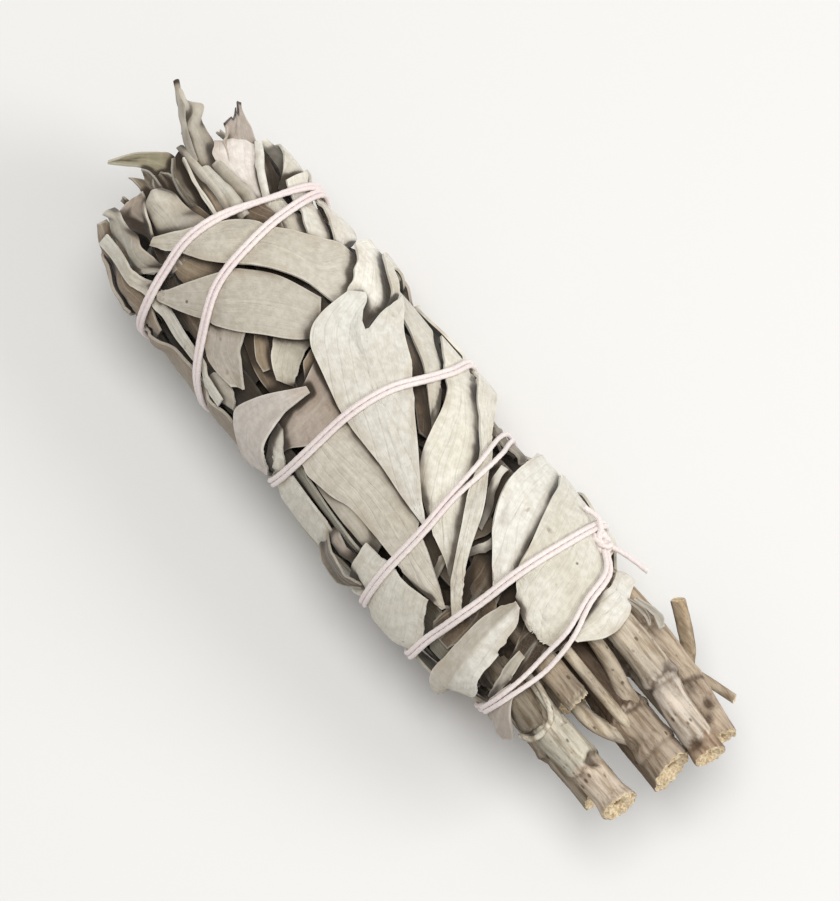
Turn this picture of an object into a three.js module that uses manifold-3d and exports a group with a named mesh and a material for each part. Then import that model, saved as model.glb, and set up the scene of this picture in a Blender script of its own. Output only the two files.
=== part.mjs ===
// Sage smudge stick: dried white sage stems and leaves laid into a thick bundle, wrapped in
// their own leaves and bound with a doubled cotton string.
// Millimetres, +Z up. +X runs along the bundle from the leaf tips to the cut stems, and the
// origin is on the flat spot under the bundle that it lies on.
import * as THREE from "three";
import { mergeVertices } from "three/addons/utils/BufferGeometryUtils.js";
import Module from "manifold-3d";

// Driving dimensions
const BUNDLE_RADIUS = 15.9;
const AXIS_HEIGHT = 15.2; // the bundle's axis over the surface that it lies on
const AXIS_SIDE = 0.6;
const SECTION_SQUASH = 0.92; // height of the section over its width
const CORE_DEPTH = 4.2; // outer leaves stand this much proud of the inner bunch
const CORE_FLAT = 10.2; // the inner bunch's underside, below the axis
const CORE_TIP_X = -46;
const CORE_STEM_X = 33;
const LEAF_THICKNESS = 0.6;
const LAYER = 0.95; // radius gained by one layer of leaves
const LEAF_GAP = 0.2;
const LEAF_CELL = { along: 4.4, across: 3.6 };
const INNER_CELLS = 0.62; // inner leaves have fewer facets
const STRING = { width: 1.4, thickness: 0.7, strand: 0.65, gap: 0.3, step: 14, sag: 0.35 };
const STEM_CLEARANCE = 0.3;

const COLOURS = {
  leaf: 0xbdb8a6,
  inner: 0x8a7a62,
  stem: 0xa8947a,
  string: 0xe8dcd6,
};

const degrees = THREE.MathUtils.degToRad;
const clamp = THREE.MathUtils.clamp;
const lerp = THREE.MathUtils.lerp;

const wasm = await Module();
wasm.setup();

// Half width of the whole bundle at stations along it, widest near the middle.
const WIDTH_STATIONS = [
  [-62, 9], [-55, 11], [-50, 12.5], [-44, 14], [-36, 15.3], [-28, BUNDLE_RADIUS],
  [16, BUNDLE_RADIUS], [26, 15.4], [35, 13.6], [60, 12.5],
];

function alongStations(stations, x) {
  const next = stations.findIndex((station) => station[0] >= x);
  if (next === 0) return stations[0][1];
  if (next < 0) return stations.at(-1)[1];
  const [x0, r0] = stations[next - 1];
  const [x1, r1] = stations[next];
  return lerp(r0, r1, (x - x0) / (x1 - x0));
}

// The inner bunch's surface, which is flattened underneath.
function coreRadius(x, phi) {
  const round = alongStations(WIDTH_STATIONS, x) - CORE_DEPTH;
  const down = -Math.cos(degrees(phi));
  return down > 0.1 ? Math.min(round, CORE_FLAT / (SECTION_SQUASH * down)) : round;
}

// Bundle coordinates: x along it, phi in degrees round it from the top towards +Y, r from
// its axis before the section is squashed.
function toSpace({ x, phi, r }) {
  const angle = degrees(phi);
  return new THREE.Vector3(
    x,
    AXIS_SIDE + r * Math.sin(angle),
    AXIS_HEIGHT + SECTION_SQUASH * r * Math.cos(angle),
  );
}

function toBundle(point) {
  const side = point.y - AXIS_SIDE;
  const up = (point.z - AXIS_HEIGHT) / SECTION_SQUASH;
  const phi = THREE.MathUtils.radToDeg(Math.atan2(side, up));
  return { x: point.x, phi, r: Math.hypot(side, up) };
}

// A repeatable draw between 0 and 1.
function draw(seed) {
  const value = Math.sin(seed * 12.9898) * 43758.5453;
  return value - Math.floor(value);
}

// What is already wound on the bundle, as the highest radius over each small cell of it.
const RELIEF = { x0: -66, cell: 0.5, columns: 264, turn: 2, rows: 180 };
const relief = new Float64Array(RELIEF.columns * RELIEF.rows);

function reliefCell(x, phi) {
  const column = clamp(Math.round((x - RELIEF.x0) / RELIEF.cell), 1, RELIEF.columns - 2);
  const row = THREE.MathUtils.euclideanModulo(Math.round(phi / RELIEF.turn), RELIEF.rows);
  return [column, row];
}

function reliefAt(x, phi) {
  const [column, row] = reliefCell(x, phi);
  return relief[column * RELIEF.rows + row];
}

function stampRelief(x, phi, r) {
  const [column, row] = reliefCell(x, phi);
  for (let dx = -1; dx <= 1; dx++) {
    for (let dr = -1; dr <= 1; dr++) {
      const at = (column + dx) * RELIEF.rows + ((row + dr + RELIEF.rows) % RELIEF.rows);
      relief[at] = Math.max(relief[at], r);
    }
  }
}

// Evenly spread points of a triangle as weights of its corners.
function spread(count) {
  const weights = [];
  for (let i = 0; i <= count; i++) {
    for (let j = 0; j <= count - i; j++) {
      weights.push([i / count, j / count, (count - i - j) / count]);
    }
  }
  return weights;
}

const FINE_SPREAD = spread(12);
const COARSE_SPREAD = spread(7);

function blend(corners, weights) {
  const point = new THREE.Vector3();
  corners.forEach((corner, i) => point.addScaledVector(corner, weights[i]));
  return point;
}

function cornersOf(position, index, first) {
  return [0, 1, 2].map((k) => new THREE.Vector3().fromBufferAttribute(position, index[first + k]));
}

// Marks a finished geometry in the relief, from those of its faces that look outwards.
function stampGeometry(geometry) {
  const position = geometry.getAttribute("position");
  const index = geometry.index.array;
  for (let i = 0; i < index.length; i += 3) {
    const corners = cornersOf(position, index, i);
    for (const weights of FINE_SPREAD) {
      const at = toBundle(blend(corners, weights));
      stampRelief(at.x, at.phi, at.r);
    }
  }
}

function geometryOf(points, index) {
  const geometry = new THREE.BufferGeometry();
  const numbers = points.flatMap((point) => [point.x, point.y, point.z]);
  geometry.setAttribute("position", new THREE.Float32BufferAttribute(numbers, 3));
  geometry.setIndex(index);
  return geometry;
}

function solidOf(geometry) {
  const bare = geometry.index ? geometry.toNonIndexed() : geometry.clone();
  bare.deleteAttribute("normal");
  bare.deleteAttribute("uv");
  const merged = mergeVertices(bare, 1e-4);
  return new wasm.Manifold(
    new wasm.Mesh({
      numProp: 3,
      vertProperties: merged.getAttribute("position").array,
      triVerts: new Uint32Array(merged.index.array),
    }),
  );
}

function geometryOfSolid(solid) {
  const mesh = solid.getMesh();
  const geometry = new THREE.BufferGeometry();
  const positions = new Float32Array(mesh.numVert * 3);
  for (let i = 0; i < mesh.numVert; i++) {
    positions.set(mesh.vertProperties.subarray(i * mesh.numProp, i * mesh.numProp + 3), i * 3);
  }
  geometry.setAttribute("position", new THREE.BufferAttribute(positions, 3));
  geometry.setIndex(new THREE.BufferAttribute(mesh.triVerts, 1));
  return geometry;
}

const fuse = (geometries) =>
  geometryOfSolid(geometries.map(solidOf).reduce((whole, piece) => whole.add(piece)));

const bundle = new THREE.Group();

function addPiece(name, geometry, colour, roughness) {
  const material = new THREE.MeshStandardMaterial({ color: colour, roughness, metalness: 0 });
  const mesh = new THREE.Mesh(geometry, material);
  mesh.name = name;
  bundle.add(mesh);
  return mesh;
}

// A leaf is a thin curved sheet between two edges, each a smooth line of [x, phi] points
// from the leaf's foot to its tip. It is laid over whatever is already on the bundle.
function edgeCurve(points) {
  return new THREE.CatmullRomCurve3(
    points.map(([x, phi]) => new THREE.Vector3(x, phi, 0)),
    false,
    "centripetal",
  );
}

const MM_PER_DEGREE = degrees(BUNDLE_RADIUS);

function flatDistance(a, b) {
  return Math.hypot(a.x - b.x, (a.y - b.y) * MM_PER_DEGREE);
}

function leafGrid(leaf) {
  const sides = [edgeCurve(leaf.left), edgeCurve(leaf.right)];
  const foot = leaf.foot ?? [[0, 0], [1, 0]];
  const middle = (t) => sides[0].getPoint(t).lerp(sides[1].getPoint(t), 0.5);
  let length = 0;
  for (let i = 0; i < 10; i++) length += flatDistance(middle(i / 10), middle((i + 1) / 10));
  let width = 0;
  for (let i = 1; i < 10; i++) {
    width = Math.max(width, flatDistance(sides[0].getPoint(i / 10), sides[1].getPoint(i / 10)));
  }
  const fineness = leaf.rooted ? INNER_CELLS : 1;
  const along = clamp(Math.round((fineness * length) / LEAF_CELL.along), 2, 9);
  const across = clamp(Math.round((fineness * width) / LEAF_CELL.across), 2, 5);
  const rows = [];
  for (let i = 0; i <= along; i++) {
    const u = i / along;
    const row = [];
    for (let j = 0; j <= across; j++) {
      const t = j / across;
      const down = lerp(alongStations(foot, t), 1, u);
      const [a, b] = sides.map((side) => side.getPoint(down));
      const at = a.lerp(b, t);
      row.push({ x: at.x, phi: at.y, r: 0, u, t });
    }
    rows.push(row);
  }
  return rows;
}

function gridTriangles(rows) {
  const triangles = [];
  for (let i = 0; i + 1 < rows.length; i++) {
    for (let j = 0; j + 1 < rows[i].length; j++) {
      const [a, b, c, d] = [rows[i][j], rows[i + 1][j], rows[i + 1][j + 1], rows[i][j + 1]];
      triangles.push([a, b, c], [a, c, d]);
    }
  }
  return triangles;
}

// Raises a sheet's vertices until no point of its facets is closer than the gap to what
// lies under it.
function raiseOver(rows, gap, passes) {
  const triangles = gridTriangles(rows);
  for (let pass = 0; pass < passes; pass++) {
    for (const corners of triangles) {
      for (const weights of COARSE_SPREAD) {
        const at = toBundle(blend(corners.map(toSpace), weights));
        const short = reliefAt(at.x, at.phi) + gap - at.r;
        if (short <= 0) continue;
        const share = weights.reduce((sum, w) => sum + w * w, 0);
        corners.forEach((corner, k) => (corner.r += (short * weights[k]) / share));
      }
    }
  }
}

// Lowers each vertex again towards its wanted height, as far as the facets round it allow.
function settle(rows, gap, wanted) {
  const triangles = gridTriangles(rows);
  rows.forEach((row, i) =>
    row.forEach((vertex, j) => {
      let room = vertex.r - wanted[i][j];
      for (const corners of triangles) {
        const k = corners.indexOf(vertex);
        if (k < 0 || room <= 0) continue;
        for (const weights of COARSE_SPREAD) {
          if (weights[k] < 0.05) continue;
          const at = toBundle(blend(corners.map(toSpace), weights));
          room = Math.min(room, (at.r - reliefAt(at.x, at.phi) - gap) / weights[k]);
        }
      }
      if (room > 0) vertex.r -= room;
    }),
  );
}

const heights = (rows) => rows.map((row) => row.map((vertex) => vertex.r));

// A stiff leaf bridges hollows: no vertex lies much lower than the mean of its neighbours.
function stiffen(rows, slack) {
  const old = heights(rows);
  rows.forEach((row, i) =>
    row.forEach((vertex, j) => {
      if (i > 0 && i + 1 < rows.length) {
        vertex.r = Math.max(vertex.r, (old[i - 1][j] + old[i + 1][j]) / 2 - slack);
      }
      if (j > 0 && j + 1 < row.length) {
        vertex.r = Math.max(vertex.r, (old[i][j - 1] + old[i][j + 1]) / 2 - slack);
      }
    }),
  );
}

// How far a leaf rises from the way it would lie: its crown, its turned-up edges and a fold.
function relax(leaf, { u, t }) {
  const crown = (leaf.crown ?? 0.3) * Math.sin(Math.PI * t);
  const left = (leaf.curl?.[0] ?? 0) * clamp(1 - t / 0.3, 0, 1) ** 2;
  const right = (leaf.curl?.[1] ?? 0) * clamp(1 - (1 - t) / 0.3, 0, 1) ** 2;
  const [foldAt, foldHeight] = leaf.fold ?? [0.5, 0];
  const fold = foldHeight * clamp(1 - Math.abs(t - foldAt) / 0.35, 0, 1);
  const tip = (leaf.tip ?? 0) * clamp((u - 0.75) / 0.25, 0, 1) ** 2;
  return (crown + left + right + fold) * Math.sin(Math.PI * clamp(u, 0.12, 0.88)) + tip;
}

function layLeaf(leaf) {
  const rows = leafGrid(leaf);
  rows.flat().forEach((vertex) => {
    if (leaf.rise) {
      const cup = (leaf.cup ?? 0) * (2 * vertex.t - 1) ** 2;
      const stations = leaf.rise.map((r, k) => [k / (leaf.rise.length - 1), r]);
      vertex.r = alongStations(stations, vertex.u) + cup;
    } else {
      vertex.r = coreRadius(vertex.x, vertex.phi) + leaf.level * LAYER;
    }
  });
  if (!leaf.rise) {
    const floor = heights(rows);
    raiseOver(rows, LEAF_GAP, 6);
    settle(rows, LEAF_GAP, floor);
    settle(rows, LEAF_GAP, floor);
    stiffen(rows, 0.15);
    rows.flat().forEach((vertex) => (vertex.r += relax(leaf, vertex)));
    const wanted = heights(rows);
    raiseOver(rows, LEAF_GAP, 8);
    for (let round = 0; round < 3; round++) settle(rows, LEAF_GAP, wanted);
  }
  if (leaf.rooted) rows[0].forEach((vertex) => (vertex.r = coreRadius(vertex.x, vertex.phi) - 1.2));
  return rows;
}

// The outer face stands off along the radius, by more where the sheet is steep.
function outerRadius(rows, i, j) {
  const here = rows[i][j];
  const pick = (a, b) => rows[clamp(a, 0, rows.length - 1)][clamp(b, 0, rows[0].length - 1)];
  const p = toSpace(here);
  const du = toSpace(pick(i + 1, j)).sub(toSpace(pick(i - 1, j)));
  const dv = toSpace(pick(i, j + 1)).sub(toSpace(pick(i, j - 1)));
  const normal = du.cross(dv).normalize();
  const outward = new THREE.Vector3(0, p.y - AXIS_SIDE, p.z - AXIS_HEIGHT).normalize();
  const facing = clamp(Math.abs(normal.dot(outward)), 0.62, 1);
  return here.r + LEAF_THICKNESS / (facing * SECTION_SQUASH);
}

// Closes a sheet into a solid blade: inner face, outer face and the rim between them, with
// both faces split along the same diagonals.
function bladeGeometry(inner, outer) {
  const across = inner[0].length;
  const points = [...inner.flat(), ...outer.flat()].map(toSpace);
  const half = inner.length * across;
  const index = [];
  for (let i = 0; i + 1 < inner.length; i++) {
    for (let j = 0; j + 1 < across; j++) {
      const a = i * across + j;
      const b = a + across;
      const [c, d] = [b + 1, a + 1];
      index.push(a, b, c, a, c, d);
      index.push(half + a, half + c, half + b, half + a, half + d, half + c);
    }
  }
  const rim = [];
  for (let j = 0; j + 1 < across; j++) rim.push([j, j + 1]);
  for (let i = 1; i < inner.length; i++) rim.push([i * across - 1, (i + 1) * across - 1]);
  for (let j = 1; j < across; j++) rim.push([half - j, half - j - 1]);
  for (let i = inner.length - 1; i > 0; i--) rim.push([i * across, (i - 1) * across]);
  for (const [a, b] of rim) index.push(a, b, half + b, a, half + b, half + a);
  const geometry = geometryOf(points, index);
  return turnedOut(geometry);
}

// Reverses a closed geometry whose faces look inwards.
function turnedOut(geometry) {
  const position = geometry.getAttribute("position");
  const index = geometry.index.array;
  let volume = 0;
  for (let i = 0; i < index.length; i += 3) {
    const [a, b, c] = cornersOf(position, index, i);
    volume += a.dot(b.cross(c));
  }
  for (let i = 0; volume < 0 && i < index.length; i += 3) {
    [index[i + 1], index[i + 2]] = [index[i + 2], index[i + 1]];
  }
  return geometry;
}

// Where the bundle lies on a leaf, that part of the leaf is flat: [from x, to x, half width
// in degrees round the lowest line].
function pressFlat(inner, outer, [from, to, half]) {
  outer.forEach((row, i) =>
    row.forEach((vertex, j) => {
      if (vertex.x < from || vertex.x > to || Math.abs(vertex.phi - 180) > half) return;
      const perHeight = 1 / (SECTION_SQUASH * Math.abs(Math.cos(degrees(vertex.phi))));
      vertex.r = AXIS_HEIGHT * perHeight;
      inner[i][j].r = (AXIS_HEIGHT - LEAF_THICKNESS) * perHeight;
    }),
  );
}

function leafGeometry(leaf) {
  const inner = layLeaf(leaf);
  const outer = inner.map((row, i) =>
    row.map((vertex, j) => ({ ...vertex, r: outerRadius(inner, i, j) })),
  );
  if (leaf.flat) pressFlat(inner, outer, leaf.flat);
  return bladeGeometry(inner, outer);
}

// The inner bunch: a core of packed stems and leaves, and the small inner leaves that show
// between the wrapping ones.
const CORE_RINGS = 15;
const CORE_SIDES = 22;

function coreGeometry() {
  const profile = [new THREE.Vector2(0, CORE_TIP_X - 2)];
  for (let i = 0; i <= CORE_RINGS; i++) {
    const t = i / CORE_RINGS;
    const x = lerp(CORE_TIP_X, CORE_STEM_X, t);
    profile.push(new THREE.Vector2(i === 0 ? 0.8 : 1, x));
  }
  profile.push(new THREE.Vector2(0, CORE_STEM_X + 0.5));
  const lathe = new THREE.LatheGeometry(profile, CORE_SIDES);
  lathe.deleteAttribute("normal");
  lathe.deleteAttribute("uv");
  const geometry = mergeVertices(lathe, 1e-4);
  const position = geometry.getAttribute("position");
  for (let i = 0; i < position.count; i++) {
    const [side, x, up] = [position.getX(i), position.getY(i), position.getZ(i)];
    const phi = THREE.MathUtils.radToDeg(Math.atan2(side, up));
    const ripple = 0.35 * Math.sin(degrees(phi * 5) + x * 0.35);
    const r = Math.hypot(side, up) * (coreRadius(x, phi) - 0.4 + ripple);
    const at = toSpace({ x, phi, r });
    position.setXYZ(i, at.x, at.y, at.z);
  }
  return turnedOut(geometry);
}

for (let column = 0; column < RELIEF.columns; column++) {
  const x = RELIEF.x0 + column * RELIEF.cell;
  if (x < CORE_TIP_X || x > CORE_STEM_X) continue;
  for (let row = 0; row < RELIEF.rows; row++) {
    relief[column * RELIEF.rows + row] = coreRadius(x, row * RELIEF.turn);
  }
}

// A round piece along a curve: a cylinder whose rings follow the path, with a radius that
// varies along it and a section given by its own half sizes.
function roundAlong(curve, steps, sides, sizeAt, outwardAt) {
  const cylinder = new THREE.CylinderGeometry(1, 1, 1, sides, steps);
  cylinder.deleteAttribute("normal");
  cylinder.deleteAttribute("uv");
  const geometry = mergeVertices(cylinder, 1e-4);
  const position = geometry.getAttribute("position");
  for (let i = 0; i < position.count; i++) {
    const t = position.getY(i) + 0.5;
    const centre = curve.getPoint(t);
    const tangent = curve.getTangent(t);
    const out = outwardAt(centre).projectOnPlane(tangent).normalize();
    const side = new THREE.Vector3().crossVectors(tangent, out);
    const [wide, high] = sizeAt(t);
    centre.addScaledVector(side, position.getX(i) * wide);
    centre.addScaledVector(out, position.getZ(i) * high);
    position.setXYZ(i, centre.x, centre.y, centre.z);
  }
  return turnedOut(geometry);
}

const upwards = () => new THREE.Vector3(0, 0, 1);

function awayFromAxis(point) {
  const up = (point.z - AXIS_HEIGHT) / SECTION_SQUASH;
  return new THREE.Vector3(0, point.y - AXIS_SIDE, up).normalize();
}

// Stems: each runs from inside the bunch to its cut end. Points are [x, across, up] from the
// bundle's axis, and knuckles are the x places of the swollen nodes.
const STEM_SIDES = 8;
const STEMS = [
  {
    name: "stem_front",
    radius: 2.6,
    path: [[18, -5.4, 3], [32, -7.2, 4.2], [40.5, -7.55, 4.6], [47, -7.1, 4.4], [53.9, -6.9, 4.2]],
    knuckles: [40.6],
  },
  {
    name: "stem_top_left",
    radius: 2.55,
    path: [[18, 0.9, 2.6], [34, 1.4, 4], [44, 1.5, 5.2], [54.6, 1.2, 5.8]],
    knuckles: [45.4, 51],
  },
  {
    name: "stem_top_right",
    radius: 2.45,
    path: [[18, 5.6, 5], [32, 7.4, 6.8], [44, 7.45, 7.2], [49, 6.6, 7], [56.4, 5.9, 6.6]],
    knuckles: [44.6],
  },
  {
    name: "stem_side",
    radius: 2.2,
    path: [[18, 8.4, 0.6], [32, 11.2, 1.8], [44, 11, 2.6], [55.3, 9.3, 2.6]],
    knuckles: [37.6, 46.4],
  },
  {
    name: "stem_stub",
    radius: 1.8,
    path: [[25, -2.8, 7.4], [32, -3, 8.2], [40.6, -3, 8.2]],
    knuckles: [],
  },
  {
    name: "stem_centre",
    radius: 2.2,
    path: [[18, 1.5, -2.8], [34, 2.2, -1.6], [44, 0.9, 0.2], [54.8, 0.6, 0.8]],
    knuckles: [44],
  },
  {
    name: "stem_under_left",
    radius: 2.5,
    path: [[18, -5, -3.4], [34, -7.4, -2.8], [50.5, -7.4, -2.2]],
    knuckles: [42],
  },
  {
    name: "stem_under_middle",
    radius: 2.4,
    path: [[18, -0.8, -7.6], [30, -1, -7.6], [38.5, -1, -7]],
    knuckles: [34],
  },
  {
    name: "stem_under_right",
    radius: 2.4,
    path: [[18, 6.2, -5.6], [34, 8.4, -5.2], [51, 8.4, -4]],
    knuckles: [40],
  },
];

function stemCurve({ path }) {
  return new THREE.CatmullRomCurve3(
    path.map(([x, across, up]) => new THREE.Vector3(x, AXIS_SIDE + across, AXIS_HEIGHT + up)),
  );
}

// Swollen nodes widen a stem, and a branch may taper to its end.
function stemSize(stem, curve, extra) {
  return (t) => {
    const { x } = curve.getPoint(t);
    const near = (stem.knuckles ?? []).map((at) => Math.exp(-(((x - at) / 0.9) ** 2)));
    const swell = 0.09 * near.reduce((sum, share) => sum + share, 0);
    const size = stem.radius * (1 + swell) * (1 - (stem.taper ?? 0) * t) + extra;
    return [size, size];
  };
}

function stemGeometry(stem, extra) {
  const curve = stemCurve(stem);
  return roundAlong(curve, 8, STEM_SIDES, stemSize(stem, curve, extra), upwards);
}

function branchGeometry(branch, extra) {
  const curve = stemCurve(branch);
  return roundAlong(curve, 5, 6, stemSize(branch, curve, extra), upwards);
}

// What grows from a stem: a sheath stub and a leaf stalk on the front one, a broken twig and a
// thin one on the side, and two leaf stalks and a bent one from the knuckle of the upper left.
const BRANCHES = {
  stem_front: [
    { radius: 2.1, path: [[30, -7.2, 5.2], [36, -8.4, 6], [40.2, -9.2, 5.4]] },
    { radius: 0.7, path: [[31, -5.6, 6.7], [37.8, -6, 7], [41.8, -6.4, 6.2]] },
  ],
  stem_side: [
    { radius: 1.05, path: [[45.4, 11.8, 0.6], [43.4, 13.9, 0.2], [40.5, 15.6, 0.3], [37.6, 17, 0.6]] },
    { radius: 0.65, path: [[43, 11.2, 1], [47.5, 13, -0.2], [52.2, 14.6, -1]] },
  ],
  stem_top_left: [
    { radius: 0.8, path: [[49.4, 1.2, 6.2], [46, 0.2, 7.4], [42, 0, 7.9], [33.5, 0, 8.4]] },
    {
      radius: 1.5,
      taper: 0.42,
      path: [[46.4, 2.3, 6], [43.2, 2.6, 6.9], [39, 3.5, 7.6], [33.5, 3.9, 8.4]],
    },
    { radius: 1.15, path: [[48.6, 0, 5], [45.6, -2, 5.2], [43, -2.9, 5], [39.5, -2.9, 4.4]] },
  ],
};

const stemHoles = [...STEMS.map((stem) => stemGeometry(stem, STEM_CLEARANCE))];
for (const grown of Object.values(BRANCHES)) {
  stemHoles.push(...grown.map((branch) => branchGeometry(branch, STEM_CLEARANCE)));
}

for (const stem of STEMS) {
  const grown = (BRANCHES[stem.name] ?? []).map((branch) => branchGeometry(branch, 0));
  const bare = stemGeometry(stem, 0);
  const geometry = grown.length ? fuse([bare, ...grown]) : bare;
  stampGeometry(geometry);
  addPiece(stem.name, geometry, COLOURS.stem, 0.85);
}

// The small inner leaves that the gaps between the wrapping leaves show.
const SHOWN_INNER_LEAVES = [
  {
    level: 0.5,
    left: [[-27, -10], [-22, -15], [-17, -20], [-13, -25]],
    right: [[-28, -26], [-23, -33], [-18, -39], [-14, -40]],
  },
  {
    level: 1.1,
    left: [[-22, 2], [-21, -15], [-19, -24], [-16.4, -29.5]],
    right: [[-17, 4], [-16.6, -10], [-15, -20], [-14.2, -25]],
  },
  {
    level: 0.9,
    left: [[-42, -33], [-38, -27], [-35, -18], [-32, -10]],
    right: [[-41, -38], [-38, -39], [-34, -37], [-31, -28]],
  },
  {
    level: 0.9,
    left: [[-42, -43], [-36, -42], [-30, -43], [-26, -46], [-22, -51]],
    right: [[-42, -54], [-36, -56], [-29, -56], [-25, -56], [-22, -55]],
  },
  {
    level: 1.9,
    left: [[-18.2, -66], [-18.4, -59], [-20, -53.5], [-22.5, -52.5]],
    right: [[-20, -70], [-22.4, -67], [-23.6, -62], [-23.4, -56]],
  },
  {
    level: 1,
    left: [[-6, -41], [-1, -40], [4, -40], [9, -42]],
    right: [[-6, -50], [-2, -50], [4, -51], [9, -51]],
  },
  {
    level: 0.8,
    left: [[17, 0], [19, -16], [20.5, -34], [21, -58]],
    right: [[22.5, 2], [24.6, -16], [25.2, -36], [24.6, -58]],
  },
  {
    level: 1.3,
    left: [[14.6, -12], [15, -17], [15.6, -24], [16.4, -32]],
    right: [[15.6, -12], [16, -17], [16.6, -24], [17.4, -32]],
  },
  {
    level: 1.3,
    left: [[16.6, 8], [17.4, 2], [17.2, -4], [17, -10]],
    right: [[18.4, 8], [18.6, 2], [18.4, -4], [18, -10]],
  },
  {
    level: 0.9,
    left: [[29.6, -20], [30.6, -35], [31.8, -50], [32.6, -64]],
    right: [[31.6, -22], [32.4, -36], [33.2, -50], [33.4, -63]],
  },
  {
    level: 0.8,
    left: [[-40, 20], [-37.6, 21], [-35.6, 24], [-33.4, 22]],
    right: [[-40, 40], [-37, 40], [-35, 40], [-33, 32]],
  },
  {
    level: 1.1,
    left: [[-38, 24], [-35, 24], [-32, 22], [-29, 26]],
    right: [[-38, 46], [-34.6, 45], [-31.4, 41], [-28.2, 33]],
  },
];

// The rest of the inner leaves lie round the bunch by a rule.
const INNER_RINGS = [-35, -15, 5, 22];
const INNER_PER_RING = 4;

function ruledInnerLeaves() {
  const leaves = [];
  INNER_RINGS.forEach((x, ring) => {
    for (let k = 0; k < INNER_PER_RING; k++) {
      const seed = ring * 31 + k * 7 + 3;
      const phi = (k + 0.5 * (ring % 2)) * (360 / INNER_PER_RING) + 30 * draw(seed);
      const turn = 26 * (draw(seed + 1) - 0.5);
      const half = 9 + 3 * draw(seed + 2);
      const wide = 14 + 6 * draw(seed + 3);
      const foot = x - half < CORE_TIP_X + 3 ? CORE_TIP_X + 3 : x - half;
      const end = x + half > CORE_STEM_X - 3 ? CORE_STEM_X - 3 : x + half;
      leaves.push({
        level: 0.3,
        left: [[foot, phi - turn - 0.7 * wide], [x, phi - wide], [end, phi + turn - 3]],
        right: [[foot, phi - turn + 0.7 * wide], [x, phi + wide], [end, phi + turn + 3]],
      });
    }
  });
  return leaves;
}

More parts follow.
